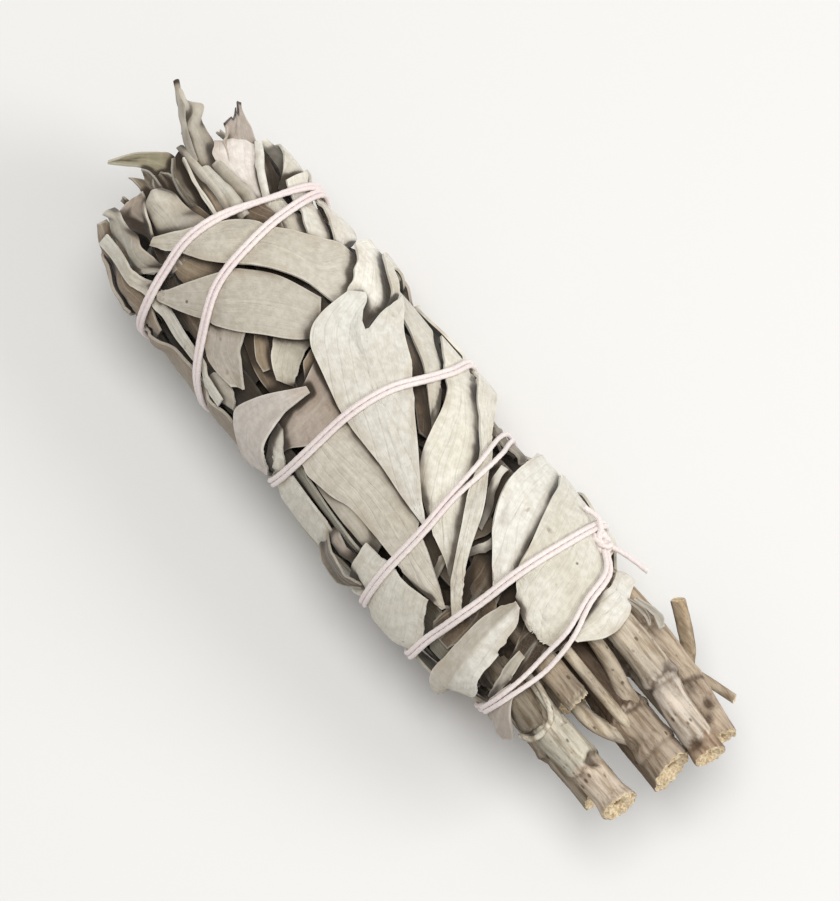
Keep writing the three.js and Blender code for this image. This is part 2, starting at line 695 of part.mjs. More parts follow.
// Leaf tips that stand out of the end. Rise gives the radius at the foot and at the tip.
const TIP_LEAVES = [
  {
    rise: [9.8, 10, 10.4, 10.6],
    cup: 0.6,
    left: [[-38, 0], [-43, 6], [-47, 12], [-50, 14]],
    right: [[-38, -6], [-44, -6], [-47, -4], [-49.8, 6]],
  },
  {
    rise: [8.6, 9, 8.8, 8.6],
    cup: 0.7,
    left: [[-43, 14], [-50, 12], [-52, 4], [-54, -10], [-56, -34]],
    right: [[-43, -4], [-48, -8], [-51, -13], [-53.7, -26], [-55.7, -37]],
  },
  {
    rise: [10.6, 11.2, 11.8, 12.5],
    cup: 0.5,
    left: [[-41, 16], [-47, 19], [-50, 22], [-54, 32], [-58.4, 43.5]],
    right: [[-41, 36], [-47.4, 38], [-51, 46], [-53.6, 49], [-55.2, 42], [-58.4, 46]],
  },
  {
    rise: [11.4, 12.2, 12.8, 13.2],
    cup: -0.8,
    left: [[-47, 18], [-50, 22], [-54, 32], [-58.5, 43]],
    right: [[-47, 21.5], [-50.4, 25.5], [-54.4, 35], [-58.5, 46]],
  },
  {
    rise: [12.1, 12.5, 13.1, 13.9],
    cup: 0.5,
    left: [[-41, 26], [-46, 28], [-49, 38], [-52.8, 66]],
    right: [[-41, 46], [-44, 52], [-48, 61], [-52.6, 73]],
  },
  {
    rise: [11.9, 12.1, 12.3, 12.7],
    cup: 0.9,
    left: [[-37, 22], [-40.6, 25], [-44.3, 25], [-48.3, 34]],
    right: [[-36, 32], [-40, 38], [-43, 50], [-46.4, 62]],
  },
  {
    rise: [11.9, 12.3, 12.9, 13.5],
    cup: -0.9,
    left: [[-36, 32], [-39.5, 38], [-42.2, 47], [-45.2, 57]],
    right: [[-36, 36], [-39, 42], [-41.6, 51], [-44.6, 61]],
  },
  {
    rise: [11.9, 12.3, 12.9, 12.4],
    cup: -0.7,
    left: [[-37, 9], [-42, 11], [-45, 11], [-50.3, 13]],
    right: [[-37, 14], [-41.5, 14], [-45, 14], [-49.7, 15]],
  },
  {
    rise: [12.2, 12.5, 12.3, 11.8],
    cup: 0.4,
    left: [[-37, -1], [-41, 2.5], [-45, 6], [-49.8, 12]],
    right: [[-37, 8], [-41, 10], [-45, 12], [-49, 14]],
  },
  {
    rise: [11.9, 12.3, 12.9, 12.4],
    cup: 1,
    left: [[-37, 0], [-40, 1.5], [-44, 3.5], [-48, 9]],
    right: [[-37, 3], [-40, 4], [-44, 6], [-48.3, 10.5]],
  },
  {
    rise: [11.9, 12.3, 12.3, 12.4],
    cup: -1.2,
    left: [[-36.5, 11], [-40, 12], [-43.5, 12], [-46, 13]],
    right: [[-36.5, 19], [-39.5, 20.5], [-42.5, 20.5], [-45, 19.5]],
  },
  {
    rise: [11.9, 12.3, 12.8, 12.4],
    cup: -1.4,
    left: [[-36.5, 21], [-39, 21], [-42, 21], [-45.4, 21.5]],
    right: [[-36, 29], [-39, 28.5], [-42, 27], [-44.9, 26]],
  },
  {
    rise: [11.9, 12.3, 12.9, 13.2],
    cup: 0.8,
    left: [[-36, 30], [-39.5, 38], [-42, 48], [-44.4, 61]],
    right: [[-36, 50], [-38.6, 53], [-41, 58], [-44.2, 66]],
  },
  {
    rise: [11.9, 12.3, 12.9, 13.6],
    cup: -1.3,
    left: [[-35.4, 46], [-38, 47], [-41, 52], [-44.8, 62]],
    right: [[-34.6, 60], [-37.6, 62], [-41, 63], [-44.9, 67]],
  },
  {
    rise: [11.9, 12.3, 12.4, 11.9],
    cup: -0.9,
    left: [[-37, -4], [-40, -5], [-42.5, -8], [-45, -8.5], [-47, -13]],
    right: [[-37, -31], [-41, -32], [-43.6, -30], [-46, -27.5], [-47.3, -19]],
  },
  {
    rise: [11.9, 12.3, 12.5, 12],
    cup: 0.9,
    left: [[-37, -30], [-42, -32], [-44.4, -29], [-46.7, -25], [-48.3, -22]],
    right: [[-37, -44], [-42.7, -38], [-45.4, -42], [-47.8, -46.5], [-48.8, -34]],
  },
  {
    rise: [11.9, 12.3, 12.7, 12.1],
    cup: -0.5,
    left: [[-34, -40], [-38.5, -39], [-41, -37], [-44.4, -41], [-47.4, -46], [-48.8, -47]],
    right: [[-34, -54], [-38, -56], [-42.8, -53], [-46, -54], [-48, -53], [-49.1, -50]],
  },
  {
    rise: [11.9, 12.3, 12.9, 12.7],
    cup: -0.9,
    left: [[-32, -60], [-37, -60], [-41, -56], [-45, -56], [-47.6, -52], [-49.3, -51]],
    right: [[-32, -72], [-38.3, -71], [-43, -66], [-46, -64.5], [-48.4, -61], [-49.4, -56]],
  },
  {
    rise: [11.2, 11, 10.8, 11.4],
    cup: 0.5,
    left: [[-42.5, -44], [-47, -41], [-49.6, -40], [-51.6, -41]],
    right: [[-42.5, -31], [-47, -33], [-49.6, -35], [-51.8, -38]],
  },
  {
    rise: [9.8, 10.2, 10.6, 11],
    cup: 0.8,
    left: [[-43, -30], [-47, -28], [-50, -24], [-51.8, -26]],
    right: [[-43, -14], [-47, -12], [-50, -12], [-51.6, -16]],
  },
  {
    rise: [9.6, 9.8, 10.2, 10.4],
    cup: 0.8,
    left: [[-43, -22], [-47, -18], [-49.5, -13], [-50.6, -8]],
    right: [[-43, 0], [-46, 0], [-48, -1], [-49.4, -4]],
  },
];

// Tips round the hidden side of the end, by a rule.
const HIDDEN_TIPS = 7;

function ruledTipLeaves() {
  const leaves = [];
  for (let k = 0; k < HIDDEN_TIPS; k++) {
    const phi = 82 + k * 27;
    const reach = -49 - 6 * draw(k + 40);
    const lean = 16 * (draw(k + 60) - 0.5);
    leaves.push({
      rise: [11.4, 9.6 + 2.4 * draw(k + 80)],
      cup: 0.8,
      left: [[-39, phi - 15], [-45, phi - 14], [reach, phi - 3 + lean]],
      right: [[-39, phi + 15], [-45, phi + 13], [reach, phi + 3 + lean]],
    });
  }
  return leaves;
}

const innerLeaves = [
  ...ruledInnerLeaves(),
  ...SHOWN_INNER_LEAVES,
  ...TIP_LEAVES,
  ...ruledTipLeaves(),
];
const innerPieces = innerLeaves.map((leaf) => {
  const geometry = leafGeometry({ ...leaf, rooted: true });
  stampGeometry(geometry);
  return solidOf(geometry);
});
const drilledCore = stemHoles
  .map(solidOf)
  .reduce((core, hole) => core.subtract(hole), solidOf(coreGeometry()));
const innerBunch = innerPieces.reduce((whole, leaf) => whole.add(leaf), drilledCore);
const innerBodies = innerBunch.decompose().sort((a, b) => b.volume() - a.volume());
addPiece("inner_bunch", geometryOfSolid(innerBodies[0]), COLOURS.inner, 0.9);

// The wrapping leaves, in the order in which they lie on the bundle.
const WRAPPING_LEAVES = [
  {
    name: "leaf_side_tip",
    level: 2,
    left: [[-48.6, -51], [-44, -48], [-38, -49], [-30, -51], [-24, -54], [-19, -60]],
    right: [[-48.6, -58], [-44, -61], [-36, -62], [-28, -63], [-22, -66], [-19, -67]],
  },
  {
    name: "leaf_side_low",
    level: 1.9,
    left: [[-37, -84], [-34, -74], [-29, -71], [-22, -70], [-16, -73], [-12, -82]],
    right: [[-37, -98], [-33, -105], [-26, -108], [-20, -106], [-15, -100], [-12, -92]],
  },
  {
    name: "leaf_tip_low",
    level: 1.8,
    left: [[-49.5, -72], [-46, -66], [-41, -67], [-38, -74]],
    right: [[-49.5, -90], [-46, -99], [-41, -100], [-38, -92]],
  },
  {
    name: "leaf_mottled",
    level: 1.7,
    left: [[-12.8, -12], [-12.2, -21], [-11.9, -34], [-11.2, -44], [-10.6, -54]],
    right: [[-6.2, -12], [-6.4, -25], [-7, -36], [-8, -44], [-9.4, -52]],
  },
  {
    name: "leaf_below_mottled",
    level: 2,
    left: [[-12, -43], [-11.5, -54], [-10.6, -68], [-10.5, -88]],
    right: [[-11, -43], [-9.2, -51], [-7.8, -60], [-7.8, -73], [-8, -88]],
  },
  {
    name: "leaf_ribbon",
    level: 1.9,
    left: [[-6.6, -50], [-3, -49.5], [1, -50.5], [5, -51.5], [9, -54]],
    right: [[-6.6, -59], [-2, -59.5], [4, -60], [8, -60], [9.5, -58]],
  },
  {
    name: "leaf_side_middle",
    level: 2,
    left: [[-6, -60], [-7.2, -70], [-7.6, -86], [-6, -106]],
    right: [[1.6, -60.5], [3, -65], [3.6, -75], [3.5, -90], [1, -106]],
  },
  {
    name: "leaf_broad_low",
    level: 2.6,
    left: [
      [-6, -14], [-2, -13], [4, -14], [9, -18], [13, -23.5], [16.5, -29], [19, -33.5],
      [20.8, -37.5],
    ],
    right: [
      [-6, -49], [-3, -48], [0, -45.5], [3, -41.5], [7, -40.5], [12, -41.5], [16, -42],
      [18.5, -40.5], [20.6, -39],
    ],
  },
  {
    name: "leaf_side_right",
    level: 2.6,
    left: [[7.6, -47.5], [7.8, -55], [8.3, -68], [9.5, -84], [12, -100]],
    right: [[18.7, -40.5], [19.6, -50], [20.8, -62], [21.6, -76], [21.4, -88], [18, -100]],
  },
  {
    name: "leaf_short_left",
    level: 2.4,
    left: [[-29.5, -22], [-29.5, -34], [-27.6, -44], [-24.8, -52], [-20, -51]],
    right: [[-25, -14], [-24.2, -22], [-23.2, -30], [-21.4, -38], [-18.6, -47]],
  },
  {
    name: "leaf_folded_left",
    level: 2.4,
    curl: [0, 0.5],
    left: [
      [-12.8, -18.5], [-13.8, -25], [-15.2, -33], [-16.6, -44], [-17.5, -55], [-17, -64],
      [-15.5, -74], [-13, -95],
    ],
    right: [
      [-11.8, -19], [-12, -27], [-12.1, -36], [-11.7, -45], [-11, -54], [-10.1, -64], [-9.4, -74],
      [-9.5, -95],
    ],
  },
  {
    name: "leaf_back_tip",
    level: 2,
    left: [[-47, 85], [-43, 66], [-40, 54], [-38, 47]],
    right: [[-40, 90], [-38, 72], [-36.5, 58], [-36, 48]],
  },
  {
    name: "leaf_strip_back",
    level: 1.9,
    left: [[-38, 47], [-34, 44], [-31, 38], [-28.6, 33]],
    right: [[-38, 62], [-33.6, 57.5], [-30, 52], [-26.6, 41.5]],
  },
  {
    name: "leaf_back_left",
    level: 2.3,
    left: [[-39, 72], [-35, 60], [-31, 55], [-28, 47.5], [-26.2, 42.5]],
    right: [[-34, 98], [-30, 84], [-27, 70], [-25.8, 58], [-25.2, 45]],
  },
  {
    name: "leaf_cross_lower",
    level: 2.9,
    left: [[-36.6, -51], [-35.6, -44], [-34, -30], [-31.5, -12], [-27, 5], [-21, 15]],
    right: [
      [-35.8, -53], [-33, -47.5], [-29.5, -39], [-25, -29], [-21.5, -18], [-18, -6], [-17, 2],
    ],
  },
  {
    name: "leaf_cross_upper",
    level: 3.2,
    left: [
      [-42, -31], [-40.5, -20], [-38.4, -5], [-36.4, 9], [-33.6, 18], [-31.2, 26], [-28.6, 35],
      [-26, 44], [-24, 48],
    ],
    right: [
      [-41.6, -36], [-38, -26], [-34.5, -17], [-31, -5], [-27, 7], [-23.5, 14], [-19.4, 18],
      [-19.3, 28], [-20.5, 36], [-22.8, 47],
    ],
  },
  {
    name: "leaf_right_inner",
    level: 2.7,
    left: [
      [10.8, 78], [11.6, 62], [12.1, 45], [13, 28], [15.3, 14], [18, 5], [20.5, -4],
      [22.8, -11.5],
    ],
    right: [
      [16, 78], [17.6, 56], [19, 42], [20.4, 28], [21.8, 16], [23.2, 6], [24, -4], [23.4, -10],
    ],
  },
  {
    name: "leaf_collar_back",
    level: 2.2,
    left: [[30, 68], [31.2, 54], [32, 40], [33, 20], [34, 4]],
    right: [[33.4, 66], [34.6, 54], [36.2, 42], [37, 30], [36.6, 20], [35, 6]],
  },
  {
    name: "leaf_collar_low",
    level: 1.4,
    left: [[34.2, -41], [34, -58], [34, -75], [34.4, -92]],
    right: [[35, -46], [37, -58], [38.5, -70], [37.5, -88]],
  },
  {
    name: "leaf_right_large",
    level: 3.1,
    left: [
      [15, 82], [15.8, 67], [17.2, 55], [18, 45], [19.6, 31], [21.6, 16], [23, 5], [24.4, 0],
      [27.5, -8], [30, -10],
    ],
    right: [
      [27, 82], [28.5, 58], [30.6, 44], [32, 30], [33, 12], [33.4, -2], [33, -8], [31.8, -10.5],
    ],
  },
  {
    name: "leaf_folded_right",
    level: 3.1,
    fold: [0.5, 0.6],
    left: [
      [26.6, -7], [25.7, -14], [25.1, -24], [24.9, -36], [24.7, -52], [24.5, -66], [24.8, -78],
      [26, -94],
    ],
    right: [
      [27.4, -7.5], [28.7, -13], [29.4, -22], [30.4, -37], [31.3, -50], [32.1, -61], [31.2, -74],
      [29, -94],
    ],
  },
  {
    name: "leaf_long_back",
    level: 2.4,
    left: [[-21, 88], [-19, 66], [-15.5, 55], [-10, 45], [-4.5, 32], [1, 17]],
    right: [[-9, 92], [-7.5, 65], [-4.5, 50], [-2.2, 42], [0.3, 30], [2, 18]],
  },
  {
    name: "leaf_middle_right",
    level: 3,
    left: [[-4.5, 64], [-3, 47], [0, 31], [5, 3], [12, -17], [16.8, -22]],
    right: [[1, 68], [3, 50], [8, 30], [11.5, 12], [14.5, -3], [18, -19]],
  },
  {
    name: "leaf_narrow_folded",
    level: 3.4,
    curl: [0, 0.3],
    left: [[3.5, 72], [7.5, 45], [11, 18], [13.5, 2], [18, -20], [22, -42]],
    right: [[5.7, 72], [9.7, 47], [12.2, 28], [15.2, 9], [19.2, -14], [23, -37]],
  },
  {
    name: "leaf_upper_middle",
    level: 3,
    left: [[-26, 88], [-24.8, 62], [-23, 48], [-20.6, 37], [-19.2, 29], [-17.5, 24]],
    right: [[-21, 84], [-19.4, 62], [-17.4, 52], [-15.6, 42], [-14.8, 32], [-13.8, 19]],
  },
  {
    name: "leaf_centre",
    level: 3,
    foot: [[0, 0], [0.2, 0.06], [0.4, 0.18], [0.6, 0.03], [1, 0]],
    left: [
      [-16, 49], [-14.5, 48], [-12.5, 44.5], [-10, 40], [-7, 33.5], [-4.4, 28], [-2, 21],
      [0.8, 13], [5, 1], [8, -7.5], [11, -16],
    ],
    right: [
      [-18.4, 31], [-19.4, 27], [-19.4, 18], [-18.8, 6], [-16.6, -5], [-13, -8.5], [-9, -12.5],
      [-5, -15], [0, -14], [5, -15], [10.8, -17.5],
    ],
  },
  {
    name: "leaf_curled_strip",
    level: 3.2,
    left: [[-21.6, 90], [-19.8, 68], [-17.6, 57], [-16, 49]],
    right: [[-19.2, 88], [-17, 66], [-15, 56], [-14.2, 49]],
  },
];

// The hidden side is wrapped by leaves of the same kind, by a rule: [x, phi] of the middle,
// half length, half width in degrees and how far the leaf turns round the bundle.
const HIDDEN_LEAVES = [
  [-38, 118, 10, 22, 14], [-38, 160, 10, 22, -12], [-37, 205, 10, 21, 10], [-37, 240, 9, 17, -8],
  [-22, 122, 11, 22, -16], [-21, 178, 10, 24, 12], [-19, 226, 10, 20, -12],
  [-4, 112, 11, 24, 16], [-2, 232, 11, 22, 12], [12, 120, 10, 24, -14], [12, 172, 11, 24, 10],
  [12, 222, 9, 22, -12], [26, 110, 8, 21, 4], [26, 152, 8, 19, -4], [28, 214, 7, 22, 6],
  [27, 246, 7, 12, -4],
];

const HIDDEN_WRAPPING = HIDDEN_LEAVES.map(([x, phi, half, wide, turn], i) => ({
  name: `leaf_under_${i + 1}`,
  level: 1.2 + 0.4 * (i % 2),
  left: [[x - half, phi - turn - wide * 0.35], [x, phi - wide], [x + half, phi + turn - 4]],
  right: [[x - half, phi - turn + wide * 0.35], [x, phi + wide], [x + half, phi + turn + 4]],
}));

// The bundle lies on two leaves of its underside, one on each side of the weight's middle.
const REST_LEAVES = [
  {
    name: "leaf_rest",
    level: 3,
    flat: [-14, 3, 17],
    left: [[-16.8, 174], [-12.5, 160], [-7, 156], [-1.6, 163], [2.6, 176]],
    right: [[-15, 187], [-11, 200], [-6, 204], [-1, 200], [2.8, 187]],
  },
  {
    name: "leaf_rest_stem",
    level: 3,
    flat: [16, 24.4, 14],
    left: [[16.4, 171], [19, 161], [22, 161], [24, 171]],
    right: [[17.8, 185], [19.6, 197], [22.5, 199], [24.4, 187]],
  },
];

[...WRAPPING_LEAVES, ...HIDDEN_WRAPPING, ...REST_LEAVES].forEach((leaf) => {
  const geometry = leafGeometry(leaf);
  stampGeometry(geometry);
  addPiece(leaf.name, geometry, COLOURS.leaf, 0.8);
});

// The string is doubled and wound six times round the bundle. Its route is a list of
// [x, phi] points, where phi falls by 360 for each turn, from the knot to the last end.
const KNOT = { x: 26.3, phi: 57 };
const HITCH = { x: -33.6, phi: -1675 };
const STRING_ROUTE = [
  [27.6, 55], [30, 46], [32, 22], [33.8, 5], [34.4, -12], [34.6, -30], [34.2, -50], [33.2, -75],
  [32.4, -100], [27.4, -180], [24, -255], [24.2, -300], [24.2, -330], [23.7, -360], [23.4, -380],
  [22.8, -400], [22, -420], [21, -450], [12.6, -540], [7.2, -620], [7.2, -650], [8.6, -678],
  [10, -700], [10.8, -720], [11.7, -740], [12, -765], [12, -805], [9.8, -850], [5.9, -900],
  [-0.6, -955], [-4, -995], [-3.5, -1030], [-4.2, -1050], [-5.5, -1070], [-6.2, -1090],
  [-6.4, -1120], [-6.9, -1140], [-8, -1160], [-10, -1185], [-22, -1260], [-32, -1325],
  [-34.4, -1355], [-34.3, -1385], [-33.7, -1410], [-32.5, -1435], [-31, -1460], [-28, -1482],
  [-25.4, -1505], [-23.2, -1530], [-23.6, -1570], [-28.7, -1620], [-33.4, -1678], [-35.3, -1710],
  [-35.5, -1740], [-36.5, -1765], [-38.3, -1800], [-38.5, -1820], [-37.5, -1840], [-36.2, -1865],
  [-35.6, -1895], [-36.4, -1940], [-36.2, -1985], [-34.6, -2026],
];
const TAILS = [
  [[26.5, 58, 0.6], [29.5, 62, 1.4], [33, 64, 2.2]],
  [[26, 56, 0.6], [23.8, 60, 1.3], [21.4, 59, 1]],
];

function routePoints() {
  const curve = edgeCurve(STRING_ROUTE);
  curve.arcLengthDivisions = 2000;
  const turned = STRING_ROUTE.at(-1)[1] - STRING_ROUTE[0][1];
  const count = Math.round(Math.abs(turned) / STRING.step);
  const points = [];
  for (let i = 0; i <= count; i++) {
    const at = curve.getPointAt(i / count);
    points.push({ x: at.x, phi: at.y, r: 0 });
  }
  return points;
}

// A taut string bears on the highest of what lies near it.
function bearing(x, phi) {
  let highest = 0;
  for (let dx = -1; dx <= 1; dx += 0.25) {
    for (let turn = -8; turn <= 8; turn += 2) {
      highest = Math.max(highest, reliefAt(x + dx, phi + turn));
    }
  }
  return highest;
}

function stringPoints() {
  const points = routePoints();
  const lift = STRING.gap + STRING.thickness / 2 / SECTION_SQUASH;
  for (const point of points) point.r = bearing(point.x, point.phi) + lift;
  for (let round = 0; round < 3; round++) {
    const old = points.map((point) => point.r);
    for (let i = 1; i + 1 < points.length; i++) {
      points[i].r = Math.max(points[i].r, (old[i - 1] + old[i + 1]) / 2 - STRING.sag);
    }
  }
  return points;
}

function stringGeometry() {
  const points = stringPoints();
  const curve = new THREE.CatmullRomCurve3(points.map(toSpace));
  const half = [STRING.width / 2, STRING.thickness / 2];
  const winding = roundAlong(curve, points.length, 6, () => half, awayFromAxis);
  const lump = (at, size) => {
    const middle = toSpace({ ...at, r: bearing(at.x, at.phi) + size.high + 0.1 });
    const out = awayFromAxis(middle);
    const ball = new THREE.SphereGeometry(1, 8, 5);
    ball.scale(size.along, size.across, size.high);
    ball.rotateX(-Math.atan2(out.y, out.z));
    return ball.translate(middle.x, middle.y, middle.z);
  };
  const tails = TAILS.map((tail) => {
    const line = tail.map(([x, phi, lift]) => toSpace({ x, phi, r: bearing(x, phi) + lift }));
    const thin = [STRING.strand / 2, STRING.strand / 2];
    return roundAlong(new THREE.CatmullRomCurve3(line), 4, 5, () => thin, awayFromAxis);
  });
  const knot = lump(KNOT, { along: 2.3, across: 1.5, high: 0.95 });
  const hitch = lump(HITCH, { along: 1.7, across: 1.9, high: 0.7 });
  return fuse([winding, knot, hitch, ...tails]);
}

addPiece("string", stringGeometry(), COLOURS.string, 0.95);

export default bundle;
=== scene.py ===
"""Sage smudge stick: dried white sage stems and leaves laid into a thick bundle, wrapped in their
own leaves and bound with a doubled cotton string, on a pale studio floor.

Lengths are in millimetres until a mesh is made. Bundle coordinates are x along the bundle from
the leaf tips to the cut stems, phi in degrees round it from the top, and r from its axis before
the section is squashed.
"""

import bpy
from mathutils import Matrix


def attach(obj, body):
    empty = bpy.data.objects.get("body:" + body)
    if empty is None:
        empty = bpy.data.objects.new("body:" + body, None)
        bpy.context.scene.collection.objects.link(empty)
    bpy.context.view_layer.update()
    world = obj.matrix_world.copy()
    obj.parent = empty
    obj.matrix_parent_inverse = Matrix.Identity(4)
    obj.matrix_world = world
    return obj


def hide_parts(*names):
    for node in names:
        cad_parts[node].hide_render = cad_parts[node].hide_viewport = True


bl_info = {
    "name": "Sage smudge stick",
    "version": (1, 0, 0),
    "blender": (4, 5, 0),
    "location": "3D View > Sidebar > Sage bundle",
    "description": "Models a string-bound bundle of dried sage around its packed frame",
    "category": "Object",
}

import math

import bpy
import numpy as np
from mathutils import Matrix, Vector

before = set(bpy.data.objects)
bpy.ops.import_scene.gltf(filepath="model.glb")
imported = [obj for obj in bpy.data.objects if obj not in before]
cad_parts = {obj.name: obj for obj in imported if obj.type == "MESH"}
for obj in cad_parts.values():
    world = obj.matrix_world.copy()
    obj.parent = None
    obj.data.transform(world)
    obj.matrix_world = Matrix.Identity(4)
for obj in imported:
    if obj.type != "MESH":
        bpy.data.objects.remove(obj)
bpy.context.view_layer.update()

MM = 0.001
# The bundle's axis over the floor and beside the middle, and how flat its section is
AXIS_HEIGHT = 15.2
AXIS_SIDE = 0.6
SECTION_SQUASH = 0.92
BUNDLE_RADIUS = 15.9
MM_PER_DEGREE = math.radians(BUNDLE_RADIUS)
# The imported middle: its depth under the outside, its flat underside and its two ends
CORE_DEPTH = 4.2
CORE_FLAT = 10.2
CORE_TIP_X = -46.0
CORE_STEM_X = 33.0
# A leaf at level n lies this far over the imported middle: LIFT and n times LAYER
LAYER = 0.95
LIFT = 0.55
# How far a leaf's outer face is over its own line, in thicknesses
OUTER_FACE = 1.1
FAR = 99.0
# First seeds of the random draws of each kind of piece
INNER_SEED, TIP_SEED, WRAPPING_SEED, LOOSE_SEED = 100, 300, 500, 700
STEM_SEED, BRANCH_SEED = 900, 40
RULED_INNER_SEED, RULED_TIP_SEED = 11, 23

# The bundle's radius at places along it, (x, radius)
WIDTH_STATIONS = [
    (-62, 9), (-55, 11), (-50, 12.5), (-44, 14), (-36, 15.3), (-28, BUNDLE_RADIUS),
    (16, BUNDLE_RADIUS), (26, 15.4), (35, 13.6), (60, 12.5),
]

# Dry leaf colours, as linear light, and a near-black one that is painted shade
TINTS = {
    "white": (0.86, 0.85, 0.79),
    "pale": (0.78, 0.76, 0.68),
    "cream": (0.66, 0.62, 0.54),
    "blush": (0.74, 0.69, 0.655),
    "shell": (0.86, 0.80, 0.765),
    "taupe": (0.50, 0.455, 0.395),
    "grey": (0.42, 0.39, 0.335),
    "mottled": (0.52, 0.455, 0.41),
    "dark": (0.27, 0.24, 0.20),
    "earth": (0.30, 0.24, 0.18),
    "green": (0.46, 0.45, 0.35),
    "pink": (0.50, 0.43, 0.38),
    "tan": (0.44, 0.355, 0.26),
    "brown": (0.17, 0.12, 0.08),
    "soot": (0.06, 0.042, 0.028),
}


def core_radius(x, phi):
    """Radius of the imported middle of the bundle, which is flattened underneath."""
    stations = np.array(WIDTH_STATIONS)
    round_part = np.interp(x, stations[:, 0], stations[:, 1]) - CORE_DEPTH
    down = -np.cos(np.radians(phi))
    flat = CORE_FLAT / (SECTION_SQUASH * np.maximum(down, 0.1))
    return np.where(down > 0.1, np.minimum(round_part, flat), round_part)


def to_space(x, phi, r):
    """Points in metres of bundle coordinates."""
    angle = np.radians(phi)
    side = AXIS_SIDE + r * np.sin(angle)
    up = AXIS_HEIGHT + SECTION_SQUASH * r * np.cos(angle)
    return np.stack(np.broadcast_arrays(x, side, up), -1) * MM


def floor_radius(height, phi):
    """The radius at which a place round the bundle is a height under its axis."""
    return height / (SECTION_SQUASH * np.maximum(-np.cos(np.radians(phi)), 0.2))


def to_bundle(points):
    """Bundle coordinates of points in millimetres."""
    side = points[..., 1] - AXIS_SIDE
    up = (points[..., 2] - AXIS_HEIGHT) / SECTION_SQUASH
    return points[..., 0], np.degrees(np.arctan2(side, up)), np.hypot(side, up)


def smooth_line(points, where):
    """A centripetal curve through points of any dimension, at shares of its length in points."""
    points = np.array(points, float)
    place = np.clip(where, 0, 1) * (len(points) - 1)
    first = np.minimum(place.astype(int), len(points) - 2)
    w = (place - first)[:, None]
    ends = np.vstack([2 * points[0] - points[1], points, 2 * points[-1] - points[-2]])
    p0, p1, p2, p3 = (ends[first + k] for k in range(4))

    def knot(a, b):
        return np.maximum(((a - b) ** 2).sum(-1, keepdims=True), 1e-8) ** 0.25

    d0, d1, d2 = knot(p0, p1), knot(p1, p2), knot(p2, p3)
    into = ((p1 - p0) / d0 - (p2 - p0) / (d0 + d1) + (p2 - p1) / d1) * d1
    out = ((p2 - p1) / d1 - (p3 - p1) / (d1 + d2) + (p3 - p2) / d2) * d1
    square = -3 * p1 + 3 * p2 - 2 * into - out
    cube = 2 * p1 - 2 * p2 + into + out
    return p1 + into * w + square * w**2 + cube * w**3


def wander(size, knots, rng):
    """A smooth random line of a given number of samples, between about -1 and 1."""
    heights = rng.uniform(-1, 1, knots + 2)
    return smooth_line(heights[:, None], np.linspace(0, 1, size))[:, 0]


def blur(field, passes):
    """Smooths a grid, each edge towards its own neighbours only."""
    for _ in range(passes):
        wide = np.pad(field, 1, mode="edge")
        field = (
            wide[:-2, 1:-1] + wide[2:, 1:-1] + wide[1:-1, :-2] + wide[1:-1, 2:] + 2 * field
        ) / 6
    return field


def finer(field, times):
    """A grid with straight-line samples between its own."""
    rows = np.linspace(0, field.shape[0] - 1, (field.shape[0] - 1) * times + 1)
    columns = np.linspace(0, field.shape[1] - 1, (field.shape[1] - 1) * times + 1)
    i = np.minimum(rows.astype(int), field.shape[0] - 2)
    j = np.minimum(columns.astype(int), field.shape[1] - 2)
    a = (rows - i)[:, None]
    b = (columns - j)[None, :]
    top = field[i][:, j] * (1 - b) + field[i][:, j + 1] * b
    low = field[i + 1][:, j] * (1 - b) + field[i + 1][:, j + 1] * b
    return top * (1 - a) + low * a


class Relief:
    """What is already on the bundle, as the highest radius over each small cell of it."""

    START = -68.0
    CELL = 0.3
    COLUMNS = 450
    TURNS = 360

    def __init__(self):
        x = self.START + self.CELL * np.arange(self.COLUMNS)[:, None]
        phi = np.arange(self.TURNS)[None, :]
        inside = (x >= CORE_TIP_X) & (x <= CORE_STEM_X)
        self.top = np.where(inside, core_radius(x, phi), 0.0)
        self.hard = np.zeros_like(self.top)

    def cells(self, x, phi):
        column = np.clip(np.rint((x - self.START) / self.CELL), 1, self.COLUMNS - 2)
        return column.astype(int), np.rint(phi).astype(int) % self.TURNS

    def near(self, x, phi, field=None):
        field = self.top if field is None else field
        column, turn = self.cells(x, phi)
        around = [
            field[column + i, (turn + j) % self.TURNS] for i in (-1, 0, 1) for j in (-1, 0, 1)
        ]
        return np.max(around, axis=0)

    def stamp(self, x, phi, r, hard=False):
        column, turn = self.cells(x, phi)
        for i in (-1, 0, 1):
            for j in (-1, 0, 1):
                np.maximum.at(self.top, (column + i, (turn + j) % self.TURNS), r)
                if hard:
                    np.maximum.at(self.hard, (column + i, (turn + j) % self.TURNS), r)


